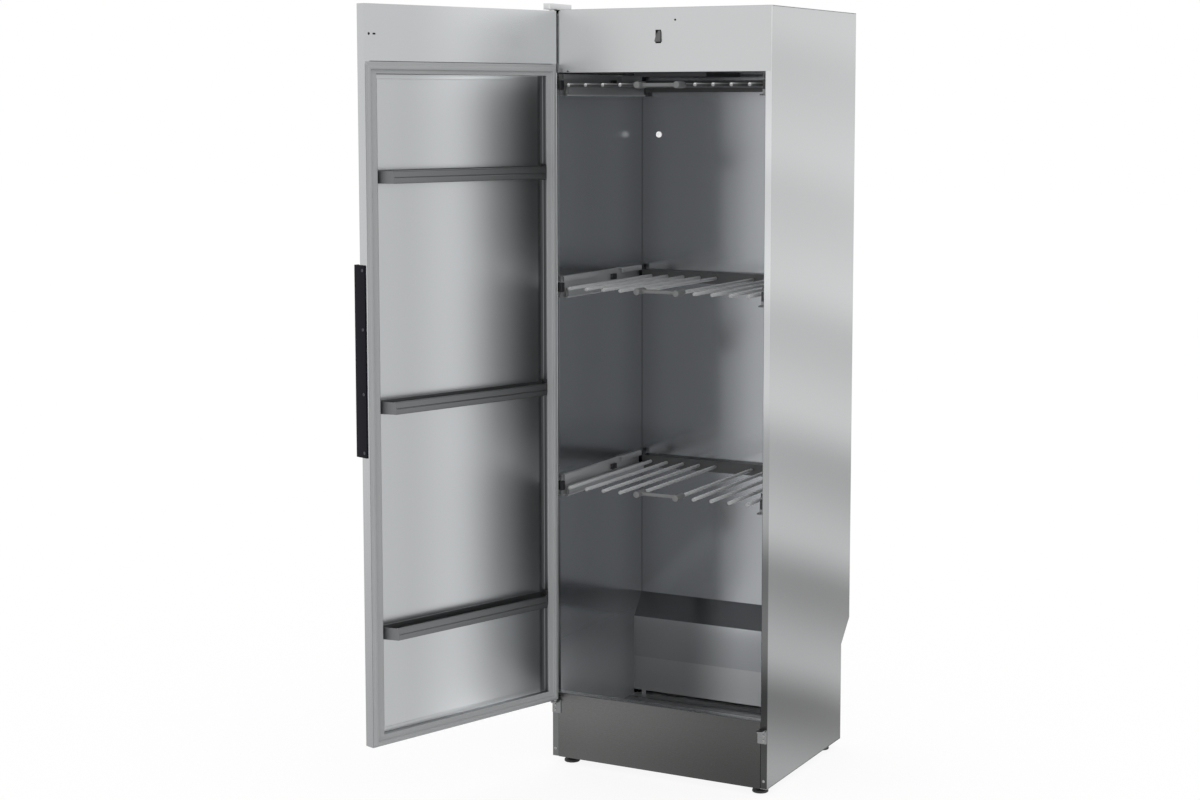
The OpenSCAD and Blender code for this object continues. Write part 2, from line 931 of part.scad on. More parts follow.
// Rocker that the shut door would push in
module switch_lever() {
    hub = 5;
    side = lever_w / 2;
    color("black") union() {
        across(-side, side) hull() {
            translate([lever_y, lever_z]) circle(r = hub);
            translate([y_front - 4.5, switch_z - 10]) circle(r = 3);
        }
        across(side - 5, side) hull() {
            translate([lever_y, lever_z]) circle(r = hub);
            translate([y_front - 1.5, lever_z + 2]) circle(r = 3);
            translate([y_front - 4.5, switch_z - 8]) circle(r = 2.5);
        }
        peg_x(lever_y, lever_z, -side - 3.4, side + 3.4, lever_pin_r);
    }
}

// ---- screws in the body ----

screw_l = 8;

// A screw whose head stands in front of the face y
module front_screw(x, z, y) {
    union() {
        peg_y(x, z, y, y + screw_l, screw_r);
        peg_y(x, z, y - screw_head_h, y, screw_head_r);
    }
}

// A screw whose head stands behind the face y
module back_screw(x, z, y) {
    union() {
        peg_y(x, z, y - screw_l, y, screw_r);
        peg_y(x, z, y, y + screw_head_h, screw_head_r);
    }
}

module body_screws() {
    seat_z = body_h + arm_h - arm_sink;
    color("silver") {
        for (s = [-1, 1]) {
            for (z = rear_screw_z) back_screw(s * rear_screw_x, z, y_rear);
            for (z = lower_screw_z) back_screw(s * rear_screw_x, z, rear_low);
            for (z = bracket_screws_z) front_screw(s * bracket_screw_x, z, y_front - bracket_t);
            front_screw(s * flange_screw_x, flange_screw_z, y_front);
        }
        for (y = arm_screws_y) union() {
            post(arm_x, y, body_h - screw_l, seat_z, screw_r);
            post(arm_x, y, seat_z, seat_z + arm_sink - 0.4, screw_head_r);
        }
    }
}

// ---- door ----

// Outer pan: front sheet, four walls and a folded lip below the head
module door_pan() {
    color("gainsboro") on_door() difference() {
        span([0, -door_t, door_bottom], [door_w, 0, door_top]);
        span([skin, -door_t + skin, door_bottom + skin], [door_w - skin, -skin, door_top - skin]);
        span([pan_lip, -skin - 1, door_bottom + pan_lip], [door_w - pan_lip, 1, head_z + 1]);
        span([-1, -skin, head_z], [door_w + 1, 1, door_top + 1]);
        span(
            [panel_x - cut_w / 2, -door_t - 1, panel_z - cut_h / 2],
            [panel_x + cut_w / 2, -door_t + 5, panel_z + cut_h / 2]
        );
        post(pivot_in, -pivot_front, door_bottom - 1, door_bottom + 5, bush_r);
        post(pivot_in, -pivot_front, door_top - 5, door_top + 1, bush_r);
        for (z = handle_screws_z) peg_x(handle_screw_y, z, door_w - 5, door_w + 1, screw_hole_r);
    }
}

// Inner panel: a flange behind the pan's lip round the recessed field
module door_inner_panel() {
    inset = pan_lip - 2;
    t = liner_t;
    color("lightgray") on_door() difference() {
        union() {
            span([inset, -skin - t, door_bottom + inset], [door_w - inset, -skin, head_z + 10]);
            span([band_side - t, inner_y - t, recess_z0 - t], [recess_x1 + t, -skin, recess_z1 + t]);
        }
        span([band_side, inner_y, recess_z0], [recess_x1, 1, recess_z1]);
    }
}

// Flat sheet over the door's head, with the two catch holes near the free edge
module door_head_panel() {
    catch_z = door_top - 68;
    color("gainsboro") on_door() difference() {
        span([0, -skin, head_z], [door_w, 0, door_top]);
        peg_y(door_w - 13, catch_z, -skin - 1, 1, 3);
        span([door_w - 32, -skin - 1, catch_z - 2], [door_w - 24, 1, catch_z + 2]);
    }
}

// Seal: a base band that fills the step inside the lip, and the bulb that meets the body
seal_base = 1.5;
seal_edge = 1.7;

// A rectangular frame from y0 to y1; outer and inner are its [x0, z0, x1, z1]
module ring(y0, y1, outer, inner) {
    difference() {
        span([outer[0], y0, outer[1]], [outer[2], y1, outer[3]]);
        span([inner[0], y0 - 1, inner[1]], [inner[2], y1 + 1, inner[3]]);
    }
}

module door_seal() {
    base_top = head_z - 1.5;
    z0 = door_bottom;
    recess = [band_side, recess_z0, recess_x1, recess_z1];
    flange_x = body_w - flange_w - door_reveal;
    bulb_x0 = pivot_in + 0.5;
    bulb_x1 = flange_x + bulb_w;
    bulb_z0 = sill_z - 2 - bulb_w;
    bulb_z1 = opening_top + 1 + bulb_w;
    bulb_inner = [bulb_x0 + bulb_w - 2, bulb_z0 + bulb_w, flange_x, bulb_z1 - bulb_w];
    color("darkgray") on_door() union() {
        ring(0, seal_base, [seal_edge, z0 + seal_edge, door_w - seal_edge, base_top], recess);
        ring(-skin, 0.5, [pan_lip, z0 + pan_lip, door_w - pan_lip, base_top], recess);
        ring(0.5, seal_gap - fit, [bulb_x0, bulb_z0, bulb_x1, bulb_z1], bulb_inner);
    }
}

// Insulating core between the inner panel and the front sheet
module door_core() {
    edge = 12;
    color("khaki") on_door()
        span([edge, -door_t + skin, door_bottom + edge], [door_w - edge, inner_y - liner_t, head_z - 4]);
}

// Outer boundary of a tray's section
module tray_block() {
    polygon([
        [0, 0],
        [tray_d - 2, 0],
        [tray_d, 2],
        [tray_d, tray_h / 2],
        [tray_d - 3, tray_h - 2],
        [0, tray_h - 2]
    ]);
}

// Section of a tray: a trough whose front has a groove along its middle
module tray_section() {
    d = tray_d;
    h = tray_h;
    t = tray_t;
    mid = h * 0.42;
    polygon([
        [0, 0], [d - 2, 0], [d, 2], [d, mid - 1], [d - 1.4, mid], [d - 1.4, mid + 1], [d, mid + 2],
        [d - 3, h - 2], [d - 3 - t, h - 2], [d - t - 0.3, mid + 2.4], [d - 1.4 - t, mid + 1.2],
        [d - 1.4 - t, mid - 0.4], [d - t, mid - 1.4], [d - t, 2.6], [d - 2.6, t], [t, t], [t, h], [0, h]
    ]);
}

// Plan of a tray: long at the back, shorter at the front
tray_x0 = band_side + 5.5;
tray_x1 = recess_x1 - 1;
module tray_plan(inset) {
    polygon([
        [tray_x0 + inset, 0],
        [tray_x1 - inset, 0],
        [tray_x1 - inset - tray_slope_free, tray_d],
        [tray_x0 + inset + tray_slope_hinge, tray_d]
    ]);
}

module tray(level) {
    z0 = tray_rims[level] - tray_h;
    color("gray") on_door() translate([0, inner_y, z0]) intersection() {
        upright(0, tray_h) tray_plan(0);
        union() {
            across(tray_x0, tray_x1) tray_section();
            difference() {
                across(tray_x0, tray_x1) tray_block();
                upright(-1, tray_h + 1) tray_plan(tray_t);
            }
        }
    }
}

module tray_top() {
    tray(2);
}

module tray_middle() {
    tray(1);
}

module tray_bottom() {
    tray(0);
}

// Black clips that hold the trays' hinge-side ends
module tray_end_clips() {
    clip_t = 4;
    clip_d = 14;
    color("black") on_door() for (level = [0:2]) {
        z0 = tray_rims[level] - tray_h;
        span([tray_x0 - clip_t, inner_y, z0 - 4], [tray_x0, inner_y + clip_d, z0 + tray_h + 4]);
    }
}

// Handle: a bar on the door's free edge that stands out in front and turns back
module door_handle() {
    y_out = -door_t - handle_out;
    x1 = door_w + handle_t;
    top = handle_z + handle_l;
    lip_w = 12;
    color("black") on_door() difference() {
        union() {
            span([door_w, y_out, handle_z], [x1, -door_t + handle_lap, top]);
            span([door_w - lip_w, y_out, handle_z], [x1, y_out + handle_t, top]);
        }
        for (z = handle_screws_z) peg_x(handle_screw_y, z, door_w - 1, door_w + 10, screw_hole_r);
    }
}

module handle_screws() {
    color("dimgray") on_door() for (z = handle_screws_z) {
        peg_x(handle_screw_y, z, door_w - 8, door_w + handle_t, screw_r);
        peg_x(handle_screw_y, z, door_w + handle_t, door_w + handle_t + screw_head_h, screw_head_r);
    }
}

// Flanged bushes in the door's top and bottom walls
module hinge_bushes() {
    length = 12;
    collar_t = 1.5;
    color("white") on_door() difference() {
        union() {
            post(pivot_in, -pivot_front, door_top - length, door_top + collar_t, bush_r);
            post(pivot_in, -pivot_front, door_top, door_top + collar_t, bush_r + 2);
            post(pivot_in, -pivot_front, door_bottom - collar_t, door_bottom + length, bush_r);
            post(pivot_in, -pivot_front, door_bottom - collar_t, door_bottom, bush_r + 2);
        }
        for (z = [door_top - length - 1, door_bottom - collar_t - 1])
            post(pivot_in, -pivot_front, z, z + length + collar_t + 2, pin_r + pin_clear);
    }
}

// ---- controls on the door's head ----

// Places a piece of the controls, round the middle of the panel on the door's front
module on_panel() {
    on_door() translate([panel_x, -door_t, panel_z]) children();
}

module control_panel() {
    boss_x = cut_w / 2 - 7;
    boss_z = cut_h / 2 - 6;
    boss_r = 3;
    color("black") on_panel() difference() {
        union() {
            span([-panel_w / 2, -panel_t, -panel_h / 2], [panel_w / 2, 0, panel_h / 2]);
            for (x = [-boss_x, boss_x]) for (z = [-boss_z, boss_z]) peg_y(x, z, -1, board_y, boss_r);
        }
        for (x = buttons_x) peg_y(x, 0, -panel_t - 1, 1, button_r + button_clear);
        span([window_x0, -panel_t - 1, -window_h / 2], [window_x1, window_t - panel_t, window_h / 2]);
    }
}

module display_window() {
    color("darkslategray") on_panel()
        span([window_x0, -panel_t, -window_h / 2], [window_x1, window_t - panel_t, window_h / 2]);
}

// Circuit board on the panel's bosses, with a push switch behind each button
module control_board() {
    half_w = cut_w / 2 - 2;
    half_h = cut_h / 2 - 2;
    color("darkgreen") on_panel() union() {
        span([-half_w, board_y, -half_h], [half_w, board_y + board_t, half_h]);
        for (x = buttons_x) translate([x, board_y, 0]) span([-3, -push_h, -3], [3, 0, 3]);
    }
}

// A push button with its retaining flange and stem
module button(i) {
    x = buttons_x[i];
    flange_t = 1.4;
    stem_end = board_y - push_h - button_travel - button_clear;
    color("white") on_panel() union() {
        peg_y(x, 0, -panel_t - button_travel - 0.5, flange_gap + 1, button_r);
        peg_y(x, 0, flange_gap, flange_gap + flange_t, button_r + 1.2);
        peg_y(x, 0, flange_gap, stem_end, 2);
    }
}

module power_button() {
    button(0);
}

module program_button() {
    button(1);
}

module start_button() {
    button(2);
}

side_panel_left();
side_panel_right();
top_panel();
rear_panel();
base_pan();
kick_plate();
fascia();
liner_left();
liner_right();
liner_back();
air_outlet_panel();
ceiling_panel();
drip_floor();
levelling_feet();
hinge_arm();
hinge_bracket();
spare_bracket();
hinge_pins();
hanger_rails();
rail_clips();
fan_housing();
fan_motor();
heating_element();
power_box();
exhaust_collar();
power_inlet();
switch_housing();
humidity_sensor();
body_screws();
lint_filter();
impeller();
fan_shaft();
switch_lever();
door_pan();
door_inner_panel();
door_head_panel();
door_seal();
door_core();
tray_top();
tray_middle();
tray_bottom();
tray_end_clips();
door_handle();
handle_screws();
hinge_bushes();
control_panel();
display_window();
control_board();
power_button();
program_button();
start_button();
rods_top();
carriage_top();
grip_top();
rods_middle();
carriage_middle();
grip_middle();
rods_bottom();
carriage_bottom();
grip_bottom();
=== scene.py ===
# %% [markdown]
# # A drying cabinet in sheet steel
# The cabinet is a tall steel box with a side-hung door, three pull-out hanger frames and three
# glove trays inside the door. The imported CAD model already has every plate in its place. This
# notebook dresses it: bent edges, rubber, polished rods, black fittings and the finishes of the
# metal. Lengths are written in millimetres, as a sheet-metal drawing has them, and turned into
# metres in one place. Only the finishes use metres, as Blender's coordinates do.

import json
import math
from collections import namedtuple

import bmesh
import bpy
import numpy as np
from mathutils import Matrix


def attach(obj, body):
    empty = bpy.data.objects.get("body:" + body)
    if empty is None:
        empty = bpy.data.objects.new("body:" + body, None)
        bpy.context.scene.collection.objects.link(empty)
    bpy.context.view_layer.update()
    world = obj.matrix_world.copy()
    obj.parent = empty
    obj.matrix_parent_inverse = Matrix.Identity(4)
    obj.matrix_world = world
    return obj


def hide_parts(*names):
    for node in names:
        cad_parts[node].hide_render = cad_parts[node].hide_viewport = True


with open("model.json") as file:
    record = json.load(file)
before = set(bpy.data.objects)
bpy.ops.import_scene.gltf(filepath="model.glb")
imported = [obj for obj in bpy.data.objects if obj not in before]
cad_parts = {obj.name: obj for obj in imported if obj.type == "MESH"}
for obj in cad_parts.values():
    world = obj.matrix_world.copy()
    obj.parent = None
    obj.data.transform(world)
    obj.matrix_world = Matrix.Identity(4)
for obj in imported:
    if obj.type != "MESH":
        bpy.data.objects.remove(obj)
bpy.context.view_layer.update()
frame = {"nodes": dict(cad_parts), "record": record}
slot_of = {part["node"]: part["material_slot"] for part in frame["record"]["subparts"]}

# %% Sizes that several pieces share
MM = 0.001
HALF_WIDTH, FRONT, REAR, ROOF = 297.5, -265.0, 265.0, 1900.0  # the body's outer faces
OPENING = 279.5  # half the width of the body's opening
FOOT = 20.0  # height of the body's lower edge
STEP_LOW, STEP_HIGH, STEP_REAR = 271.0, 332.0, 210.0  # below the slanted step the body is less deep
SHEET = 1.2  # thickness of the outer sheets
HALF_SHEET = SHEET / 2
SIDE_LINE, FRONT_LINE = HALF_WIDTH - HALF_SHEET, FRONT + HALF_SHEET  # middle lines of the sheets
LEVELS = {"top": 1716, "middle": 1216, "bottom": 716}  # height of each hanger frame
TRAY_TOPS = {"top": 1520, "middle": 987, "bottom": 454}  # height of each tray's upper edge

# %% [markdown]
# ## Tools for surfaces
# A folded sheet, a lathe-turned pin and a rubber seal are all the same idea in mathematics: a
# grid of points, row by row, with a face between each four neighbours. Drawing them by hand in
# the viewport would hide the sizes, so each shape here is a small formula in numpy. The formula
# gives a whole array of points at once, and the array goes straight into a mesh.


# %% Grids, closed skins and hoops
def grid_quads(rows, cols, wrap_rows=False):
    """Quads between neighbouring points of a rows x cols grid whose columns close into a ring."""
    r = np.arange(rows if wrap_rows else rows - 1)[:, None]
    c = np.arange(cols)[None, :]
    r2, c2 = (r + 1) % rows, (c + 1) % cols
    quads = np.stack([r * cols + c, r * cols + c2, r2 * cols + c2, r2 * cols + c], axis=-1)
    return quads.reshape(-1, 4)


def skin(rings):
    """Closed skin over a stack of rings (k, n, 3): quads between rings, a flat face on each end."""
    k, n, _ = rings.shape
    quads = grid_quads(k, n)
    corners = np.concatenate([quads.ravel(), np.arange(n), np.arange((k - 1) * n, k * n)])
    sizes = np.concatenate([np.full(len(quads), 4), [n, n]])
    return rings.reshape(-1, 3), corners, sizes


def hoop(rings):
    """Skin over rings (k, n, 3) whose last ring joins the first, such as a seal round a door."""
    quads = grid_quads(rings.shape[0], rings.shape[1], wrap_rows=True)
    return rings.reshape(-1, 3), quads.ravel(), np.full(len(quads), 4)


# %% Put skins into one mesh
SHARP = math.radians(38)  # an edge that bends more than this is shaded as an edge
finish = {}


def new_object(name, data):
    """An object at the origin, linked to the scene."""
    made = bpy.data.objects.new(name, data)
    bpy.context.scene.collection.objects.link(made)
    return made


def add_piece(name, parts, body, slot, replaces=(), look=None):
    """Joins skins given in millimetres into one object at the origin, its normals outwards."""
    points = np.vstack([p for p, _, _ in parts]) * MM
    starts = np.cumsum([0] + [len(p) for p, _, _ in parts[:-1]])
    corners = np.concatenate([c + s for (_, c, _), s in zip(parts, starts)])
    sizes = np.concatenate([s for _, _, s in parts])
    loop_start = np.concatenate([[0], np.cumsum(sizes)[:-1]])
    mesh = bpy.data.meshes.new(name)
    mesh.vertices.add(len(points))
    mesh.vertices.foreach_set("co", points.ravel())
    mesh.loops.add(len(corners))
    mesh.loops.foreach_set("vertex_index", corners.astype(np.int32))
    mesh.polygons.add(len(sizes))
    mesh.polygons.foreach_set("loop_start", loop_start.astype(np.int32))
    mesh.update(calc_edges=True)
    work = bmesh.new()
    work.from_mesh(mesh)
    bmesh.ops.recalc_face_normals(work, faces=work.faces)
    work.to_mesh(mesh)
    work.free()
    mesh.polygons.foreach_set("use_smooth", np.ones(len(mesh.polygons), dtype=bool))
    mesh.set_sharp_from_angle(angle=SHARP)
    piece = new_object(name, mesh)
    mesh.materials.append(finish[look or slot])
    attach(piece, body)
    if replaces:
        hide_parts(*replaces)
    print(f"{name}: {len(mesh.vertices)} points, {len(mesh.polygons)} faces on {body}")


# %% [markdown]
# ## Outlines, bends and turned shapes
# Sheet steel never has a knife edge: a press brake leaves an arc whose radius is about the
# sheet's own thickness, and that arc catches the light as a thin bright line. A Bevel modifier
# could round the CAD plates, but their triangles are loose, so the bends are put into the
# outlines instead. A turned shape is the same with a circle for an outline.


# %% Rounded corners, offsets and strips
def unit(v):
    """Each row of v at length one."""
    return v / np.maximum(np.linalg.norm(v, axis=-1, keepdims=True), 1e-12)


def rounded(corners, radius, steps=5, closed=True):
    """Each corner becomes an arc: its centre is on the bisector at radius / sin(half angle)."""
    p = np.asarray(corners, float)
    a, b, c = (np.roll(p, 1, 0), p, np.roll(p, -1, 0)) if closed else (p[:-2], p[1:-1], p[2:])
    u, v = unit(a - b), unit(c - b)
    half = 0.5 * np.arccos(np.clip((u * v).sum(1), -1, 1))[:, None]
    centre = b + unit(u + v) * radius / np.sin(half)
    first, last = b + u * radius / np.tan(half) - centre, b + v * radius / np.tan(half) - centre
    turn = (np.pi - 2 * half)[:, None, :]
    t = np.linspace(0, 1, steps)[None, :, None]
    arc = np.sin((1 - t) * turn) * first[:, None] + np.sin(t * turn) * last[:, None]
    arc = (arc / np.sin(turn) + centre[:, None]).reshape(-1, 2)
    return arc if closed else np.vstack([p[:1], arc, p[-1:]])


def moved_out(line, distance, closed=True):
    """Moves a line sideways: each point goes along the sum of its two edge normals."""
    step = np.roll(line, -1, 0) - line
    if not closed:
        step[-1] = step[-2]
    after = unit(np.stack([step[:, 1], -step[:, 0]], 1))
    before = np.roll(after, 1, 0)
    if not closed:
        before[0] = after[0]
    return line + (after + before) / (1 + (after * before).sum(1, keepdims=True)) * distance


def strip(points, thickness, bend, steps=5):
    """Outline of a folded sheet: its middle line with arcs, moved half a sheet to each side."""
    middle = rounded(points, bend, steps, closed=False)
    half = thickness / 2
    return np.vstack([moved_out(middle, half, False), moved_out(middle, -half, False)[::-1]])


EDGE_STEPS = 4  # rings in the quarter circle at a prism's end


def prism(outline, h0, h1, edge=0.0):
    """An outline carried from h0 to h1; both ends draw in along a quarter circle of radius edge."""
    if edge <= 0:
        drawn, height = np.zeros(2), np.array([h0, h1])
    else:
        t = np.linspace(0, np.pi / 2, EDGE_STEPS)
        drawn, height = edge * (1 - np.sin(t)), h0 + edge * (1 - np.cos(t))
        drawn = np.concatenate([drawn, drawn[::-1]])
        height = np.concatenate([height, (h0 + h1 - height)[::-1]])
    x, y = outline.T
    area = 0.5 * (x * np.roll(y, -1) - np.roll(x, -1) * y).sum()
    ring = outline if area > 0 else outline[::-1]
    rings = np.stack([moved_out(ring, -d) for d in drawn])
    heights = np.broadcast_to(height[:, None, None], rings.shape[:2] + (1,))
    return np.concatenate([rings, heights], axis=2)


def turned(profile, sides=32, lobes=0):
    """Rings from a lathe: profile rows are radius, height and depth of the lobes round the axis."""
    p = np.asarray(profile, float)
    depth = p[:, 2:3] if p.shape[1] > 2 else np.zeros((len(p), 1))
    a = np.linspace(0, 2 * np.pi, sides, endpoint=False)[None, :]
    r = p[:, :1] * (1 + depth * np.cos(lobes * a))
    return np.stack([r * np.cos(a), r * np.sin(a), np.broadcast_to(p[:, 1:2], r.shape)], axis=-1)


def along(rings, axis, origin=(0, 0, 0)):
    """Turns rings whose last coordinate is their height so that it runs along X, Y or Z."""
    order = {"x": [2, 0, 1], "y": [0, 2, 1], "z": [0, 1, 2]}[axis]
    return rings[..., order] + np.asarray(origin, float)


def bar(outline, h0, h1, axis, edge=0.0):
    """Rings of a prism along X, Y or Z."""
    return along(prism(outline, h0, h1, edge), axis)


def on_side(rings, side):
    """Rings drawn on the left: they stay there for side -1 and are mirrored for side 1."""
    return rings * np.array([-side, 1, 1])


def box_outline(x0, x1, y0, y1, radius, steps=4):
    """A rectangle with rounded corners."""
    return rounded([(x0, y0), (x1, y0), (x1, y1), (x0, y1)], radius, steps)


def rectangle_hoop(profile, outer, inner):
    """A section round a rectangle; its first column runs from 0 on the outer to 1 on the inner."""
    o, i = np.asarray(outer, float), np.asarray(inner, float)
    columns = np.array([[0, 1], [2, 1], [2, 3], [0, 3]])
    far, near = o[columns][:, None, :], i[columns][:, None, :]
    p = np.asarray(profile, float)[None, :, :]
    plane = far + (near - far) * p[..., :1]
    depth = np.broadcast_to(p[..., 1], plane.shape[:2])
    return np.stack([plane[..., 0], depth, plane[..., 1]], axis=-1)


# %% [markdown]
# ## The door's own coordinates
# The door stands open, so its plates aren't parallel to the world's axes. It is easier to think
# of it lying shut: x from the hinge edge, y from the inner face and z up. One rotation about
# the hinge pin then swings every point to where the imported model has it.

# %% Swing points of the door
DOOR_OPEN = math.radians(108.23)
PIVOT = np.array([-284.5, -279.0])
DOOR_CORNER = np.array([-293.5, -273.0])  # the hinge edge of the shut door's inner face


def on_door(rings):
    """Turns points of the shut door clockwise about the hinge pin by the angle it stands open."""
    x = rings[..., 0] + DOOR_CORNER[0] - PIVOT[0]
    y = rings[..., 1] + DOOR_CORNER[1] - PIVOT[1]
    c, s = math.cos(DOOR_OPEN), math.sin(DOOR_OPEN)
    return np.stack([PIVOT[0] + x * c + y * s, PIVOT[1] - x * s + y * c, rings[..., 2]], axis=-1)


# %% [markdown]
# ## Effects that several finishes share
# Every finish on this cabinet is metal, plastic or rubber with some fine grain. Grain, soft
# tone and spangle are each wanted by more than one finish, so each is a node group with named
# sockets: a finish places the group and gives it its own scale. The groups put out plain values
# that change over the surface, and the shader itself stays in the material.


# %% Tools for nodes
def fill(tree, owner, **sockets):
    """Gives sockets a value or a link; _0 is the first one, From_Min the one called From Min."""
    for key, value in sockets.items():
        socket = owner.inputs[int(key[1:]) if key[0] == "_" else key.replace("_", " ")]
        if isinstance(value, bpy.types.NodeSocket):
            tree.links.new(value, socket)
        else:
            socket.default_value = value


def node(tree, kind, settings=None, **sockets):
    """Adds a node with its properties and sockets, and returns the node's outputs."""
    made = tree.nodes.new("ShaderNode" + kind)
    for key, value in (settings or {}).items():
        setattr(made, key, value)
    fill(tree, made, **sockets)
    return made.outputs


def compute(tree, operation, *operands, kind="Math"):
    """The result of a Math node, or of a VectorMath node, for its operands in order."""
    numbered = {f"_{i}": operand for i, operand in enumerate(operands)}
    return node(tree, kind, {"operation": operation}, **numbered)[0]


def dimmed(tree, color, factor):
    """A colour times a factor."""
    return node(tree, "VectorMath", {"operation": "SCALE"}, _0=color, Scale=factor)[0]


def ranged(tree, value, start, end, low, high, smooth=False):
    """A value that goes from low at start to high at end, and stays there outside."""
    settings = {"clamp": True, "interpolation_type": "SMOOTHSTEP" if smooth else "LINEAR"}
    return node(tree, "MapRange", settings, Value=value, From_Min=start, From_Max=end,
                To_Min=low, To_Max=high)[0]


def noise(tree, place, scale, detail, roughness=0.5):
    """Outputs of a noise texture."""
    return node(tree, "TexNoise", Vector=place, Scale=scale, Detail=detail, Roughness=roughness)


def new_group(name, inputs, outputs):
    """An empty shader group; returns its tree, what comes into it and what goes out of it."""
    tree = bpy.data.node_groups.new(name, "ShaderNodeTree")
    for in_out, sockets in (("INPUT", inputs), ("OUTPUT", outputs)):
        for label, kind in sockets:
            tree.interface.new_socket(name=label, in_out=in_out, socket_type="NodeSocket" + kind)
    return tree, tree.nodes.new("NodeGroupInput").outputs, tree.nodes.new("NodeGroupOutput").inputs


def use_group(tree, group, **sockets):
    """Places a shared effect in a material and returns its outputs."""
    return node(tree, "Group", {"node_tree": group}, **sockets)


# %% Group: brushed lines and soft clouds
brushed, src, dst = new_group(
    "Brushed lines", [("Vector", "Vector"), ("Stretch", "Vector"), ("Cloud Scale", "Vector")],
    [("Lines", "Float"), ("Clouds", "Float")])
for stretch, detail, roughness, socket in ((src[1], 3.0, 0.6, dst[0]), (src[2], 2.0, 0.5, dst[1])):
    drawn = compute(brushed, "MULTIPLY", src[0], stretch, kind="VectorMath")
    brushed.links.new(noise(brushed, drawn, 1.0, detail, roughness)["Fac"], socket)

# %% Group: shade a colour up and down
shading, src, dst = new_group(
    "Tone", [("Color", "Color"), ("Lines", "Float"), ("Clouds", "Float"), ("Line Depth", "Float"),
             ("Cloud Depth", "Float")], [("Color", "Color")])
level = compute(shading, "MULTIPLY_ADD", src[1], src[3], 1.0)
level = compute(shading, "MULTIPLY_ADD", src[2], src[4], level)
depths = compute(shading, "ADD", src[3], src[4])
level = compute(shading, "MULTIPLY_ADD", depths, -0.5, level)
shading.links.new(dimmed(shading, src[0], level), dst[0])

# %% Group: a colour that fades along one direction
fade, src, dst = new_group(
    "Fade", [("Color", "Color"), ("Value", "Float"), ("Start", "Float"), ("End", "Float"),
             ("Low", "Float"), ("High", "Float")], [("Color", "Color")])
ramp = ranged(fade, *src[1:6], smooth=True)
fade.links.new(dimmed(fade, src[0], ramp), dst[0])

# %% Start a finish and give it texture
Finish = namedtuple("Finish", "tree shader place color")


def new_finish(slot, color, metallic, roughness):
    """A material with one Principled shader; its place holds Object coordinates."""
    material = bpy.data.materials.new(slot)
    material.use_nodes = True
    material.diffuse_color = (*color, 1)
    finish[slot] = material
    tree = material.node_tree
    shader = tree.nodes["Principled BSDF"]
    fill(tree, shader, Base_Color=(*color, 1), Metallic=metallic, Roughness=roughness)
    return Finish(tree, shader, node(tree, "TexCoord")["Object"], color)


def textured(made, fine, coarse, depths, roughness, worn, wear, bump, distance):
    """Two patterns shade the colour, the worn one the roughness, and the fine one is a bump."""
    tree = made.tree
    tone = use_group(tree, shading, Color=(*made.color, 1), Lines=fine, Clouds=coarse,
                     Line_Depth=depths[0], Cloud_Depth=depths[1])[0]
    rough = compute(tree, "MULTIPLY_ADD", worn, wear, roughness - wear / 2)
    relief = node(tree, "Bump", Height=fine, Strength=bump, Distance=distance)[0]
    fill(tree, made.shader, Base_Color=tone, Roughness=rough, Normal=relief)
    return made._replace(color=tone)


# %% [markdown]
# ## Rolled and brushed steel
# The outer sheets are satin steel whose grain runs upwards, so a lamp's reflection spreads
# sideways across it. The lines come from noise that is squeezed along two axes and left long on
# the third. They change the colour and the roughness a little, and a very shallow bump breaks
# the mirror. An image of brushed steel would repeat, and noise never does. What a real room mirrors
# in the metal, and the shade inside the cabinet, are painted into the colour as smooth changes of
# tone along one axis: painted reflection and painted shade.


# %% Finish: brushed steel sheets
def metal(slot, color, roughness, stretch, clouds, line_depth, cloud_depth, rough_depth, bump,
          metallic=1.0):
    """Metal with long grain; stretch and clouds are cycles per metre along X, Y and Z."""
    made = new_finish(slot, color, metallic, roughness)
    grain = use_group(made.tree, brushed, Vector=made.place, Stretch=stretch, Cloud_Scale=clouds)
    lines = grain["Lines"]
    return textured(made, lines, grain["Clouds"], (line_depth, cloud_depth), roughness,
                    worn=lines, wear=rough_depth, bump=bump, distance=0.0002)


def axes(made):
    """The X, Y and Z of a finish's place, in metres."""
    return node(made.tree, "SeparateXYZ", Vector=made.place)


def faded(made, *stages):
    """Multiplies a finish's colour along X, Y or Z, or along any value that a stage has instead.

    A stage is that axis or value, its start and end, and the factor at each of the two.
    """
    at, color = axes(made), made.color
    for axis, start, end, low, high in stages:
        value = at[axis] if isinstance(axis, str) else axis
        color = use_group(made.tree, fade, Color=color, Value=value, Start=start, End=end,
                          Low=low, High=high)[0]
    fill(made.tree, made.shader, Base_Color=color)


def dulled(made, start, end, low):
    """Below the height start the sheet is matt from condensation: Metallic is low there."""
    share = ranged(made.tree, axes(made)["Z"], start, end, low, 1.0, smooth=True)
    fill(made.tree, made.shader, Metallic=share)
    return made


OUTER = (0.25, (900, 900, 12), (1, 1, 3), 0.04, 0.05, 0.08, 0.04)
DOOR = ((0.53, 0.541, 0.549), *OUTER)
metal("painted_sheet", (0.592, 0.60, 0.605), *OUTER)
outside = metal("door_sheet", *DOOR)
# painted shade: the door's free edge darkens towards its foot
edge_shade = ranged(outside.tree, axes(outside)["Y"], -0.822, -0.816, 0.68, 1.0)
faded(outside, ("Z", 0.15, 1.10, edge_shade, 1.0))
# painted reflection: the door's head panel is brighter towards the hinge
faded(metal("head_sheet", *DOOR), ("Y", -0.72, -0.47, 1.0, 1.30))
kick = metal("brushed_sheet", (0.131, 0.131, 0.130), 0.28, (14, 900, 900), (2, 2, 3), 0.10, 0.10,
             0.12, 0.10)
# painted reflection darker to the right and to the floor, with a painted highlight where the sill
# begins
faded(kick, ("X", -0.28, 0.28, 1.12, 0.60), ("Z", 0.03, 0.18, 0.82, 1.10),
      ("Z", 0.1862, 0.1869, 1.0, 6.0))
lining = metal("door_liner", (0.485, 0.498, 0.508), 0.28, (900, 900, 14), (1.5, 1.5, 1.5), 0.015,
               0.03, 0.02, 0.01)
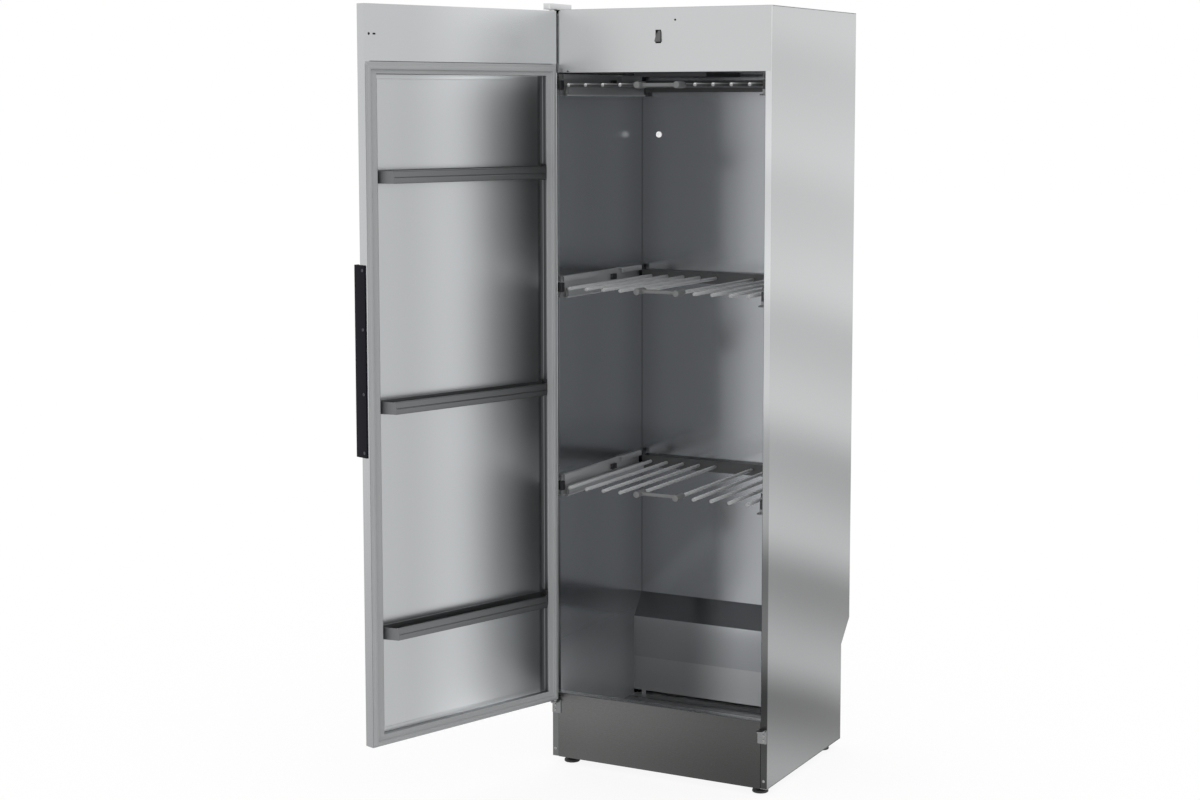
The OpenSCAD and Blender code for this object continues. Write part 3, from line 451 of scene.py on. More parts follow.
# painted reflection brightest in the middle of the open door, painted shade beside the hinge
faded(lining, ("Y", -0.72, -0.46, 1.04, 1.85), ("Y", -0.42, -0.32, 1.0, 0.58),
      ("Y", -0.3185, -0.3125, 1.0, 0.42))

# %% Finish: the lining of the drying space
SMOOTH_SHEET = (0.18, (900, 900, 14), (1.5, 1.5, 1.5), 0.03, 0.05, 0.05, 0.02)
LINER = ((0.300, 0.310, 0.323), *SMOOTH_SHEET)
# painted shade lies on the ledge and painted light below it; each steps at the ledge's edges
LEDGE_FOOT, LEDGE_TOP = (0.2935, 0.2945), (0.3525, 0.3535)  # the tone steps at both its edges
LEDGE_SLOPE = 0.23  # the ledge's mirror image in a side wall falls this much per metre of depth


def side_wall(slot, at_front, at_back):
    """A side wall; in the slanted band that mirrors the ledge a painted reflection lifts its
    colour.
    """
    wall = dulled(metal(slot, *LINER), 0.14, 0.47, 0.30)
    at = axes(wall)
    most = ranged(wall.tree, at["Y"], -0.23, 0.08, at_front, at_back)
    slanted = compute(wall.tree, "MULTIPLY_ADD", at["Y"], LEDGE_SLOPE, at["Z"])
    ledge_reflection = ranged(wall.tree, slanted, 0.29, 0.37, 1.05, most, smooth=True)
    # painted reflection of the ledge below the slanted line, painted shade towards the back corner,
    # painted light low on the wall
    faded(wall, (slanted, 0.396, 0.410, ledge_reflection, 1.0), ("Y", 0.03, 0.198, 1.10, 0.80),
          ("Y", 0.190, 0.198, 1.0, 0.55), ("Z", 0.14, 0.42, 1.5, 1.0))


metal("liner_sheet", *LINER)
side_wall("left_wall", 1.5, 1.2)
side_wall("right_wall", 1.0, 1.0)
back_wall = dulled(metal("liner_rear", *LINER), *LEDGE_FOOT, 0.25)
# painted reflection brighter to the right, painted shade on the ledge, and under it a painted light
# strip over the outlet panel
strip_light = ranged(back_wall.tree, axes(back_wall)["X"], -0.13, 0.06, 1.22, 2.45, smooth=True)
faded(back_wall, ("X", -0.12, 0.04, 0.78, 1.25), ("Z", *LEDGE_TOP, 0.36, 1.0),
      ("Z", *LEDGE_FOOT, strip_light, 1.0), ("Z", *LEDGE_FOOT, 2.78, 1.0))
outlet = metal("outlet_sheet", (0.495, 0.505, 0.515), *SMOOTH_SHEET, 0.08)
# painted reflection: darker to the left and brighter to the right
faded(outlet, ("X", -0.13, 0.06, 0.58, 1.90))
tray_floor = metal("floor_sheet", (0.45, 0.46, 0.47), *SMOOTH_SHEET, 0.50)
# painted shade on the floor in front of the outlet panel, painted light in the slot under it
faded(tray_floor, ("Y", 0.12, 0.15, 0.5, 1.0), ("Y", 0.15, 0.17, 1.0, 2.0))

# %% Finish: trays, rails, rods and small steel; the short steps in Y paint shade on their front ends
BRACKET = ((60, 600, 600), (25, 25, 25), 0.08, 0.12, 0.15, 0.10)
ROD = ((0.86, 0.87, 0.88), 0.42, (700, 10, 700), (6, 6, 6), 0.06, 0.06, 0.08, 0.06, 0.45)
rail = metal("rail_sheet", (0.72, 0.73, 0.74), 0.36, (700, 12, 700), (4, 4, 4), 0.08, 0.10, 0.12,
             0.10, 0.65)
faded(rail, ("Y", -0.2505, -0.2470, 0.30, 1.0))
runner = metal("carriage_sheet", (0.60, 0.61, 0.62), 0.36, (14, 700, 700), (4, 4, 4), 0.08, 0.12,
               0.12, 0.10, 0.75)
# painted shade on the carriage's back beam and on its front end
faded(runner, ("Y", 0.170, 0.178, 1.0, 0.14), ("Y", -0.2395, -0.2365, 0.35, 1.0))
faded(metal("rod_steel", *ROD), ("Y", -0.2725, -0.2700, 0.42, 1.0))
top_rods = metal("rod_top", *ROD)
# painted shade on the top rods' undersides, a little lighter at their tips
underside_shade = ranged(top_rods.tree, axes(top_rods)["Y"], -0.2712, -0.2700, 0.36, 0.16)
faded(top_rods, ("Z", 1.7160, 1.7200, underside_shade, 1.0))
metal("tray_sheet", (0.196, 0.201, 0.206), 0.38, (12, 12, 800), (5, 5, 5), 0.10, 0.10, 0.15, 0.15)
metal("pin_steel", (0.60, 0.60, 0.605), 0.22, (600, 600, 900), (9, 9, 9), 0.08, 0.05, 0.10, 0.10)
metal("screw_steel", (0.36, 0.36, 0.355), 0.26, (500,) * 3, (40,) * 3, 0.10, 0.10, 0.15, 0.10)
metal("bright_bracket", (0.25, 0.253, 0.256), 0.25, *BRACKET)
metal("dull_bracket", (0.24, 0.243, 0.246), 0.35, *BRACKET)
metal("heater_metal", (0.34, 0.29, 0.25), 0.38, (30, 700, 700), (20,) * 3, 0.10, 0.35, 0.15, 0.12)

# %% Finish: the side panels' long bands, a painted reflection
BAND, SHIFT, CREST = 0.3046, 0.159, 0.374  # a band's height, its start, and where it is brightest
SWAY = 0.02  # how far the bands wander from their straight course
DARK, LIGHT = (1.466, 0.20, 0.878), (1.281, 0.565, 0.98)  # up to a height, the factor at each end
PLAIN = 0.85  # the left panel's bands stay near this tone, because the photo doesn't show that side
panel = metal("side_sheet", (0.588, 0.598, 0.603), 0.25, (900, 900, 12), (0.5, 0.5, 2.4), 0.05,
              0.04, 0.08, 0.04)
tree, at = panel.tree, axes(panel)
height = at["Z"]
# level is where a point's band meets the front edge: the bands rise less, the higher they are
tilt = compute(tree, "MULTIPLY_ADD", height, -0.181, 0.3945)
inward = compute(tree, "ADD", at["Y"], 0.25)
level = compute(tree, "MULTIPLY_ADD", tilt, inward, height)
swayed = compute(tree, "MULTIPLY_ADD", noise(tree, panel.place, 1.3, 1.0)["Fac"], SWAY, level)
share = compute(tree, "FRACT", compute(tree, "MULTIPLY_ADD", swayed, 1 / BAND, SHIFT))
rise = ranged(tree, share, 0.0, CREST, 0.0, 1.0, smooth=True)
drop = ranged(tree, share, CREST, 1.0, 1.0, 0.0, smooth=True)
# painted reflection: the bands grow darker towards the floor
darkest = ranged(tree, height, 0.0, *DARK, smooth=True)
lightest = ranged(tree, height, 0.0, *LIGHT, smooth=True)
total = ranged(tree, compute(tree, "MINIMUM", rise, drop), 0.0, 1.0, darkest, lightest)
strength = ranged(tree, at["X"], -0.1, 0.1, 0.35, 1.0)  # the left panel's, then the right one's
offset = compute(tree, "SUBTRACT", total, PLAIN)
banded = dimmed(tree, panel.color, compute(tree, "MULTIPLY_ADD", offset, strength, PLAIN))
# painted reflection: the front flange darkens towards the floor
foot_level = ranged(tree, at["X"], -0.1, 0.1, 0.37, 0.20)
flange_fall = ranged(tree, height, 0.0, 1.3, foot_level, 1.24, smooth=True)
outwards = compute(tree, "ABSOLUTE", at["X"])
faded(panel._replace(color=banded), (outwards, 0.2966, 0.2972, flange_fall, 1.0))

# %% [markdown]
# ## Galvanised sheet
# The roof, the back and the base are hot-dip galvanised. Zinc freezes in flat crystals, the
# spangle, and each crystal reflects a little differently. Cells of a Voronoi texture are flat
# patches with a random value each, which is just that.

# %% Group: spangle, and the galvanised finish
spangle, src, dst = new_group("Spangle", [("Vector", "Vector"), ("Scale", "Float")],
                              [("Crystal", "Float"), ("Drift", "Float")])
jitter = noise(spangle, src[0], 40.0, 2.0)["Color"]
mixed = compute(spangle, "MULTIPLY_ADD", jitter, (0.02, 0.02, 0.02), src[0], kind="VectorMath")
cells = node(spangle, "TexVoronoi", Vector=mixed, Scale=src[1])["Color"]
spangle.links.new(node(spangle, "SeparateColor", Color=cells)[0], dst[0])
spangle.links.new(noise(spangle, src[0], 3.0, 3.0)["Fac"], dst[1])


def zinc(slot, color, roughness, scale, *depths):
    """Zinc crystals: each cell shifts the colour and the roughness by its own random value."""
    made = new_finish(slot, color, 1.0, roughness)
    crystal, drift = use_group(made.tree, spangle, Vector=made.place, Scale=scale)
    textured(made, crystal, drift, depths, roughness, worn=crystal, wear=0.16, bump=0.05,
             distance=0.0003)


zinc("galvanised_sheet", (0.52, 0.53, 0.54), 0.40, 90.0, 0.10, 0.12)
zinc("cast_hinge", (0.76, 0.765, 0.77), 0.46, 700.0, 0.08, 0.08)
zinc("motor_metal", (0.16, 0.16, 0.17), 0.50, 500.0, 0.15, 0.15)

# %% [markdown]
# ## Plastics, rubber and glass
# Moulded parts carry the texture of their mould, a fine pebble that the hand feels more than
# the eye sees. Foam has larger cells. Both are one noise group at different scales, used for a
# shallow bump and for a slight change of sheen.

# %% Group: mould texture, and the plastic finishes
pebble, src, dst = new_group("Mould texture", [("Vector", "Vector"), ("Scale", "Float")],
                             [("Height", "Float"), ("Wear", "Float")])
pebble.links.new(noise(pebble, src[0], src[1], 2.0, 0.6)["Fac"], dst[0])
pebble.links.new(noise(pebble, src[0], 18.0, 4.0, 0.65)["Fac"], dst[1])


def moulded(slot, color, roughness, scale, bump, depth=0.10, metallic=0.0, **more):
    """Plastic or rubber: pebble for the bump, slow noise for tone and sheen."""
    made = new_finish(slot, color, metallic, roughness)
    pebbles, soft = use_group(made.tree, pebble, Vector=made.place, Scale=scale)
    textured(made, pebbles, soft, (depth, depth), roughness, worn=soft, wear=0.14, bump=bump,
             distance=0.0003)
    fill(made.tree, made.shader, **more)


moulded("black_plastic", (0.022, 0.022, 0.025), 0.45, 1200, 0.20)
moulded("foot_plastic", (0.030, 0.030, 0.032), 0.60, 900, 0.25)
moulded("white_plastic", (0.80, 0.80, 0.79), 0.40, 1200, 0.12, 0.03)
moulded("filter_plastic", (0.070, 0.070, 0.075), 0.50, 900, 0.20)
moulded("fan_plastic", (0.045, 0.045, 0.050), 0.45, 900, 0.15)
moulded("seal_rubber", (0.362, 0.37, 0.376), 0.55, 1500, 0.15, 0.05)
moulded("core_foam", (0.72, 0.62, 0.40), 0.90, 350, 0.60, 0.20)
moulded("handle_black", (0.005, 0.005, 0.010), 0.38, 1600, 0.08, 0.12, Specular_IOR_Level=0.07)
moulded("screw_dark", (0.10, 0.10, 0.12), 0.35, 900, 0.10, 0.15, 0.8)
moulded("panel_plastic", (0.016, 0.016, 0.019), 0.22, 1200, 0.02, 0.08)
moulded("board_laminate", (0.02, 0.16, 0.07), 0.35, 600, 0.10, 0.30, Coat_Weight=0.3)
moulded("button_plastic", (0.62, 0.62, 0.61), 0.30, 1400, 0.06, 0.03)
moulded("grip_plastic", (0.17, 0.172, 0.175), 0.42, 1300, 0.15, 0.08)
moulded("lever_grey", (0.12, 0.12, 0.12), 0.40, 1300, 0.10, 0.05)
# painted light: the sensor cap glows faintly, though it is no lamp
moulded("sensor_cap", (0.85, 0.85, 0.84), 0.40, 1200, 0.08, 0.02, Emission_Color=(1, 1, 1, 1),
        Emission_Strength=0.55)

window = new_finish("window_glass", (0.02, 0.025, 0.03), 0.0, 0.08)
smudge = use_group(window.tree, pebble, Vector=window.place, Scale=60.0)["Wear"]
haze = compute(window.tree, "MULTIPLY_ADD", smudge, 0.10, 0.03)
fill(window.tree, window.shader, Roughness=haze, Coat_Weight=0.6)
print("finishes", sorted(finish))

# %% [markdown]
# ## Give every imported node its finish
# The nodes come in with a plain preview material. The record says which slot each belongs to,
# so one loop gives all sixty their finish.

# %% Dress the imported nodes
own_look = {"door_head_panel": "head_sheet", "liner_left": "left_wall", "liner_right": "right_wall",
            "liner_back": "liner_rear", "air_outlet_panel": "outlet_sheet",
            "drip_floor": "floor_sheet", "switch_lever": "lever_grey"}
for name, packed in frame["nodes"].items():
    chosen = finish[own_look.get(name, slot_of[name])]
    if not packed.material_slots:
        packed.data.materials.append(chosen)
    for material_slot in packed.material_slots:
        material_slot.material = chosen
print("dressed", len(frame["nodes"]))

# %% [markdown]
# ## Side panels
# Each side is one sheet, 1.2 mm thick, folded round the front edge into the flange beside the
# opening and back again. Its section hardly changes from the floor to the roof, only the rear
# edge steps in above the skirting, so it is a strip carried up Z whose rear points move with
# the height.

# %% Make the side panels
FASCIA = 1747.0  # height at which the flange ends under the fascia


def side_panel(side):
    """Section of the folded sheet at each height; points behind Y = 0 follow the rear edge."""
    flange = [(-OPENING - HALF_SHEET, -253), (-OPENING - HALF_SHEET, FRONT_LINE)]
    wall = [(-SIDE_LINE, FRONT_LINE), (-SIDE_LINE, REAR)]
    low, top = strip(flange + wall, SHEET, 1.5), strip([(-294.6, FRONT_LINE)] + wall, SHEET, 1.5)
    parts = []
    for outline, heights in ((low, [FOOT + SHEET, STEP_LOW, STEP_HIGH, FASCIA]),
                             (top, [FASCIA, ROOF - SHEET])):
        z = np.array(heights)[:, None]
        rear = np.interp(z, [FOOT, STEP_LOW, STEP_HIGH, ROOF], [STEP_REAR, STEP_REAR, REAR, REAR])
        y = np.where(outline[:, 1] > 0, rear, outline[:, 1])
        x, z = np.broadcast_to(outline[:, 0], y.shape), np.broadcast_to(z, y.shape)
        parts.append(skin(on_side(np.stack([x, y, z], axis=-1), side)))
    for rear_end, z0 in ((STEP_REAR - 0.1, FOOT), (REAR - 0.1, ROOF - 2)):
        edge = box_outline(FRONT + 1, rear_end, z0, z0 + 2, 0.4)
        parts.append(skin(on_side(bar(edge, -HALF_WIDTH, SHEET - HALF_WIDTH, "x"), side)))
    return parts


for side, side_name in ((-1, "left"), (1, "right")):
    add_piece("sides." + side_name, side_panel(side), "cabinet", "painted_sheet",
              ["side_panel_" + side_name], "side_sheet")

# %% [markdown]
# ## Plinth
# The plinth sheet runs up the front, folds back into the sill that boots slide over, and ends
# in a short hem. A strip carried along X gives both bends their radius.

# %% Make the plinth
SILL = 186.4  # height of the sill's middle line
plinth = strip([(FRONT_LINE, FOOT), (FRONT_LINE, SILL), (-240.6, SILL), (-240.6, 175)], SHEET, 1.8)
add_piece("plinth", [skin(bar(plinth, -OPENING, OPENING, "x"))], "cabinet", "brushed_sheet",
          ["kick_plate"])

# %% [markdown]
# ## Door pan and inner panel
# The door's front sheet is folded back on all four sides and ends in a lip that carries the
# inner panel. Only the bends show, so the long sides are one strip carried upwards and the
# ends are strips carried along the width. The inner panel dips into a shallow field: its edge
# is a strip carried round the rectangle.

# %% Make the door pan
DOOR_W, DOOR_T, DOOR_Z0, DOOR_Z1, HEAD_Z = 587.0, 28.0, 170.0, 1897.0, 1768.0
LIP, BEND = 14.0, 1.4


def door_skin(outline, h0, h1, axis, edge=0.0):
    """Skin of a prism on the door."""
    return skin(on_door(bar(outline, h0, h1, axis, edge)))


near, far = HALF_SHEET, DOOR_W - HALF_SHEET  # middle lines of the hinge edge and the free edge
inner, outer = -HALF_SHEET, HALF_SHEET - DOOR_T  # middle lines of the lip and the front sheet
long_side = strip([(LIP, inner), (near, inner), (near, outer), (far, outer), (far, inner),
                   (DOOR_W - LIP, inner)], SHEET, BEND)
head_side = strip([(near, -SHEET), (near, outer), (far, outer), (far, -SHEET)], SHEET, BEND)
foot_end = strip([(-26.0, DOOR_Z0 + HALF_SHEET), (inner, DOOR_Z0 + HALF_SHEET),
                  (inner, DOOR_Z0 + LIP)], SHEET, BEND)
end_sheet = box_outline(0.9, DOOR_W - 0.9, outer, -SHEET, 0.5)
pan = [
    door_skin(long_side, DOOR_Z0 + 0.4, HEAD_Z, "z"),
    door_skin(head_side, HEAD_Z, DOOR_Z1, "z"),
    door_skin(foot_end, LIP, DOOR_W - LIP, "x"),
    door_skin(end_sheet, DOOR_Z0, DOOR_Z0 + SHEET, "z"),
    door_skin(end_sheet, DOOR_Z1 - SHEET, DOOR_Z1, "z"),
]
add_piece("door.pan", pan, "door", "painted_sheet", ["door_pan"], "door_sheet")

# %% Make the inner panel
FIELD = (33.0, 197.0, 554.0, 1739.0)  # x and z of its lower corner, then of its upper one
FIELD_Y = -14.0  # how deep the field lies
x0, z0, x1, z1 = FIELD
dip = strip([(-19, -1.7), (-0.5, -1.7), (-0.5, -14.5), (12, -14.5)], 1.0, 2.2)
field_edge = rectangle_hoop(dip, FIELD, (x0 + 1, z0 + 1, x1 - 1, z1 - 1))
field = box_outline(x0 + 11, x1 - 11, z0 + 11, z1 - 11, 0.5)
add_piece("door.field", [hoop(on_door(field_edge)), door_skin(field, FIELD_Y - 1, FIELD_Y, "y")],
          "door", "door_liner", ["door_inner_panel"])

# %% [markdown]
# ## Seal
# A flat rubber band covers the door's lip, and on it stands the hollow bulb that the body's
# flange presses flat. The strips are cut at the corners and welded, so the section simply runs
# round a rectangle with mitred corners. The section itself is a smooth curve through a few
# points.


# %% Make the seal
def smooth_loop(points, steps=6):
    """A closed curve through the points: Catmull-Rom, a cubic in t between each pair of points."""
    p = np.asarray(points, float)
    a, b, c, d = (np.roll(p, shift, 0)[:, None] for shift in (1, 0, -1, -2))
    t = np.linspace(0, 1, steps, endpoint=False)[None, :, None]
    square, cube = 2 * a - 5 * b + 4 * c - d, 3 * b - 3 * c + d - a
    return (0.5 * (2 * b + (c - a) * t + square * t**2 + cube * t**3)).reshape(-1, 2)


band = [(0, 0), (0.01, 0.6), (0.04, 1.2), (0.09, 1.5), (0.94, 1.5), (0.98, 1.1), (1, 0.4), (1, -1)]
bulb = smooth_loop([(-0.22, 0.9), (-0.20, 1.6), (-0.06, 2.6), (0.02, 4.2), (0.07, 6.0), (0.28, 7.4),
                    (0.72, 7.4), (0.93, 6.0), (0.98, 4.2), (1.12, 2.4), (1.4, 1.6), (1.45, 0.9)])
seal = [
    hoop(on_door(rectangle_hoop(band, (1.7, 171.7, 585.3, 1766.5), FIELD))),
    hoop(on_door(rectangle_hoop(bulb, (9.5, 175, 583, 1758), (17.5, 185, 573, 1748)))),
]
add_piece("door.seal", seal, "door", "seal_rubber", ["door_seal"])

# %% [markdown]
# ## Trays
# Three long troughs hold gloves. Each is a folded section with a pressed groove along its front
# and a rolled upper edge, closed by plates that slope in at both ends. Because the ends slope,
# the section's two end positions depend on the depth: one straight line in x for each side.

# %% Make the trays
TRAY_X0, TRAY_X1, TRAY_DEPTH, TRAY_HEIGHT, TRAY_SHEET = 38.5, 553.0, 45.0, 31.0, 1.5
SLOPE_LEFT, SLOPE_RIGHT = 25, 22  # how far each end slopes in over the tray's depth


def tray_ends(profile):
    """X of both ends at each point of a (depth, height) section: straight lines in the depth."""
    share = profile[:, 0] / TRAY_DEPTH
    return TRAY_X0 + SLOPE_LEFT * share, TRAY_X1 - SLOPE_RIGHT * share


def tray_skin(profile, z0, first, last):
    """Skin of a (depth, height) section carried between two rows of x."""
    x = np.stack([first, last])
    y, z = (np.broadcast_to(v, x.shape) for v in (FIELD_Y + profile[:, 0], z0 + profile[:, 1]))
    return skin(on_door(np.stack([x, y, z], axis=-1)))


def tray_parts(z0):
    """The trough, its rolled edge and the plate on each end, from the height z0 up."""
    parts = []
    for profile, inset in ((trough, 0.6), (rolled_edge, 0.2)):
        left, right = tray_ends(profile)
        parts.append(tray_skin(profile, z0, left + inset, right - inset))
    left, right = tray_ends(side_face)
    parts.append(tray_skin(side_face, z0, left, left + TRAY_SHEET))
    parts.append(tray_skin(side_face, z0, right - TRAY_SHEET, right))
    return parts


trough = strip([(0.75, 31), (0.75, 0.75), (44.2, 0.75), (44.2, 11.6), (42.9, 13.0), (42.9, 14.0),
                (44.2, 15.4), (41.2, 28)], TRAY_SHEET, 0.7, 4)
side_face = rounded([(0.2, 0.2), (44.0, 0.2), (44.8, 2), (44.8, 14), (42.0, 28.8), (0.2, 28.8)],
                    0.6)
roll_turn = np.linspace(0, 2 * np.pi, 14, endpoint=False)
rolled_edge = np.stack([41.3 + 1.5 * np.cos(roll_turn), 28.4 + 1.5 * np.sin(roll_turn)], 1)
for place_name, tray_top in TRAY_TOPS.items():
    add_piece("tray." + place_name, tray_parts(tray_top - TRAY_HEIGHT), "door", "tray_sheet",
              ["tray_" + place_name])

# %% Make the clips that hold the trays
clips = [door_skin(box_outline(-13.8, -0.2, top - 35, top + 4, 1.5), 34.6, 38.4, "x", 0.8)
         for top in TRAY_TOPS.values()]
add_piece("tray.clips", clips, "door", "black_plastic", ["tray_end_clips"])

# %% [markdown]
# ## Handle and its screws
# The black handle is a flat bar along the free edge of the door that turns back over the front,
# so fingers hook behind it. Extruded profiles have small radii everywhere. The four screws have
# domed heads with a six-lobed recess: the radius of a ring swings with the cosine of six times
# the angle.

# %% Make the handle
grip = strip([(575.3, -45.5), (588.5, -45.5), (588.5, -6.0)], 3.0, 2.2, 7)
add_piece("handle", [door_skin(grip, 856, 1303, "z", 0.9)], "door", "handle_black",
          ["door_handle"])

# %% Make a screw head and the handle's screws
SCREW_R, SCREW_H = 3.6, 1.6
# base, rim and dome, then six-lobed rings that drop into the recess, in parts of both sizes
rings = [(1, 0, 0), (1, 0.45, 0), (0.93, 0.75, 0), (0.75, 0.95, 0), (0.58, 1, 0), (0.44, 1, 0.13),
         (0.40, 0.30, 0.13)]
head = turned(np.array(rings) * (SCREW_R, SCREW_H, 1), 36, 6)
heads = [on_door(along(head, "x", (590, -14, z))) for z in (868, 1004.5, 1154.5, 1291)]
add_piece("handle.screws", [skin(rings) for rings in heads], "door", "screw_dark",
          ["handle_screws"])

# %% [markdown]
# ## Hanger frames
# Each frame has ten rods, drawn steel with domed ends, in two groups of five with a gap for
# broad hangers. A grey moulded grip joins the two rods beside the gap. Rods and sleeves are
# lathe shapes laid along Y, and the crossbar is a rounded outline carried along X.

# %% Make the rods and grips
ROD_R, ROD_Y0, ROD_Y1 = 4.5, -273.0, 177.7
FIRST_ROD, ROD_PITCH = 53, 47.5  # distance from the middle, and between neighbours
ROD_X = [s * (FIRST_ROD + ROD_PITCH * i) for s in (-1, 1) for i in range(5)]
dome = np.linspace(0, np.pi / 2, 7)
rod_profile = [(ROD_R * math.sin(a) + 0.02, ROD_Y0 + 1.6 * (1 - math.cos(a))) for a in dome]
rod_profile += [(ROD_R, ROD_Y1)]
sleeve_profile = [(7.0, -277), (7.9, -276.6), (8.4, -275.6), (8.5, -274), (8.5, -250), (8.2, -238),
                  (7.4, -235), (5.6, -234), (4.55, -234.4)]
for level_name, z in LEVELS.items():
    rods = [skin(along(turned(rod_profile, 24), "y", (x, 0, z))) for x in ROD_X]
    shade = "rod_top" if level_name == "top" else "rod_steel"
    add_piece("rods." + level_name, rods, "hanger_" + level_name, "rod_steel",
              ["rods_" + level_name], shade)
    sleeves = [skin(along(turned(sleeve_profile, 32), "y", (x, 0, z)))
               for x in (-FIRST_ROD, FIRST_ROD)]
    crossbar = skin(bar(box_outline(-260.8, -249.2, z - 4.8, z + 4.8, 3.2, 5), -50, 50, "x"))
    add_piece("grip." + level_name, sleeves + [crossbar], "hanger_" + level_name, "grip_plastic",
              ["grip_" + level_name])

# %% Make the rails and their clips
RAIL_INNER, RAIL_OUTER = -260.1, -278.9  # middle lines of a rail's lip and of its back
RAIL_ENDS, NOTCH = (-251, 176), (-73, 64)


def rail_parts(side, z):
    """A folded channel in three lengths; the middle one has lost its upper flange to the notch."""
    floor = [(RAIL_INNER, z - 22), (RAIL_INNER, z - 25.4), (RAIL_OUTER, z - 25.4)]
    ceiling = [(RAIL_OUTER, z + 27.4), (-270.1, z + 27.4), (-270.1, z + 15)]
    whole = strip(floor + ceiling, SHEET, 0.9)
    notched = strip(floor + [(RAIL_OUTER, z + 28)], SHEET, 0.9)
    lengths = (whole, RAIL_ENDS[0], NOTCH[0]), (notched, *NOTCH), (whole, NOTCH[1], RAIL_ENDS[1])
    return [skin(on_side(bar(outline, y0, y1, "y"), side)) for outline, y0, y1 in lengths]


def clip_parts(side, z):
    """Two black blocks with soft edges, one in the rail's front end and one in its notch."""
    return [skin(on_side(bar(box_outline(-278.2, -270.8, z0, z1, 1.2), y0, y1, "y", 1.0), side))
            for y0, y1, z0, z1 in ((-259, -243, z - 11, z + 12), (13, 37, z + 1, z + 15))]


places = [(side, z) for side in (-1, 1) for z in sorted(LEVELS.values())]
add_piece("rails", [part for place in places for part in rail_parts(*place)], "cabinet",
          "rail_sheet", ["hanger_rails"])
add_piece("rails.clips", [part for place in places for part in clip_parts(*place)], "cabinet",
          "black_plastic", ["rail_clips"])

# %% [markdown]
# ## Feet, sensor and hinge hardware
# Small fittings give a plain steel box its scale. A foot is a turned pad, a hexagon nut and a
# threaded stud, whose radius swings with the height. The sensor is a white cap with a rim. The
# hinge arm is a casting, so its upper edge is well rounded.

# %% Make the levelling feet
THREAD_R, THREAD_DEPTH, THREAD_PITCH = 4.75, 0.25, 1.25
pad_profile = [(16.5, 0), (19.2, 0.3), (20, 1.4), (20, 4.6), (19.0, 6.0), (15.5, 7.0), (12.0, 7.0)]
thread_z = np.linspace(6, 46, 161)
thread_r = THREAD_R + THREAD_DEPTH * np.cos(2 * np.pi * thread_z / THREAD_PITCH)
thread = np.stack([thread_r, thread_z], 1)
hex_turn = np.arange(6) * np.pi / 3
hexagon = rounded(11 * np.stack([np.cos(hex_turn), np.sin(hex_turn)], 1), 0.8, 3)
feet = []
for x in (-262.5, 262.5):
    for y in (-225, 165):
        for rings in (turned(pad_profile, 40), turned(thread, 20), prism(hexagon, 7, 20, 0.8)):
            feet.append(skin(along(rings, "z", (x, y, 0))))
add_piece("feet", feet, "cabinet", "foot_plastic", ["levelling_feet"])

# %% Make the humidity sensor
cap_profile = [(5, 210), (5, 198.5), (7.6, 198), (8, 197), (8, 195.6), (7.4, 194.6), (6.2, 194.1),
               (5.8, 194.6), (5.3, 194.1), (2.5, 194.0), (0.3, 194.0)]
cap = skin(along(turned(cap_profile, 40), "y", (-229.5, 0, 1590)))
add_piece("sensor", [cap], "cabinet", "white_plastic", ["humidity_sensor"], "sensor_cap")

# %% Make the hinge arm and the lower brackets
arm = rounded([(-297.5, -298), (-294.5, -301), (-280.5, -301), (-277.5, -298), (-277.5, -193),
               (-280.5, -187), (-294.5, -187), (-297.5, -193)], 1.6, 4)
add_piece("hinge.arm", [skin(bar(arm, ROOF, ROOF + 14.6, "z", 1.2))], "cabinet", "cast_hinge",
          ["hinge_arm"])


def bracket_parts(side):
    """A leg on the body's front and an ear with a round nose under the door."""
    leg = bar(box_outline(-296.5, -272.5, 133.2, 168.2, 2.0), -267.5, FRONT, "y", 0.5)
    turn = np.linspace(np.pi, 2 * np.pi, 15)
    nose = PIVOT + 9 * np.stack([np.cos(turn), np.sin(turn)], 1)
    ear = bar(np.vstack([nose, [(-275.5, -266), (-293.5, -266)]]), 163.2, 168.2, "z", 0.5)
    return [skin(on_side(rings, side)) for rings in (leg, ear)]


add_piece("hinge.bracket", bracket_parts(-1), "cabinet", "bright_bracket", ["hinge_bracket"],
          "dull_bracket")
add_piece("spare.bracket", bracket_parts(1), "cabinet", "bright_bracket", ["spare_bracket"])

# %% Make the screws of the body
heads = []
for side in (-1, 1):
    # the back sheet's screws, then those of the brackets and the plinth, which face forwards
    for y, z in ((REAR, 480), (REAR, 900), (REAR, 1320), (REAR, 1740), (210, 70), (210, 220)):
        heads.append(along(head, "y", (side * 289.3, y, z)))
    for y, z in ((-267.5, 141.2), (-267.5, 153.2), (FRONT, 40)):
        heads.append(along(head * (1, 1, -1), "y", (side * 288.5, y, z)))
heads += [along(head, "z", (-287.5, y, 1913.0)) for y in (-243, -205)]
add_piece("screws", [skin(rings) for rings in heads], "cabinet", "screw_steel", ["body_screws"])

# %% [markdown]
# ## Exhaust collar, mains inlet and lint screen
# The humid air leaves through a spigot on the roof that a 100 mm hose slips over. It is spun from
# sheet, so its rim is rolled and a bead runs round it. The inlet at the back has a rim with
# softened edges round a deep well. The lint screen is a net of fine wires, which would be lost as
# an image, and straight crossing wires cost only six faces each.

# %% Make the exhaust collar
rim_turn = np.linspace(0, np.pi, 7)
bead = [(49.4 + 0.9 * math.cos(a), 1908.5 + 1.6 * math.sin(a)) for a in rim_turn - np.pi / 2]
rim = [(48.7 + 0.75 * math.cos(a), 1913.2 + 0.75 * math.sin(a)) for a in rim_turn]
spigot = [(49.4, 1901.2), *bead, *rim, (48.0, 1888.4), (48.4, 1888.0), (49.5, 1888.0),
          (49.5, 1899.9), (59.2, 1899.9), (59.5, 1900.3), (59.5, 1900.8), (59.1, 1901.2),
          (51.5, 1901.2), (50.2, 1901.5)]
collar = hoop(along(turned(spigot, 72), "z", (120, 120, 0)))
add_piece("exhaust.collar", [collar], "cabinet", "galvanised_sheet", ["exhaust_collar"])

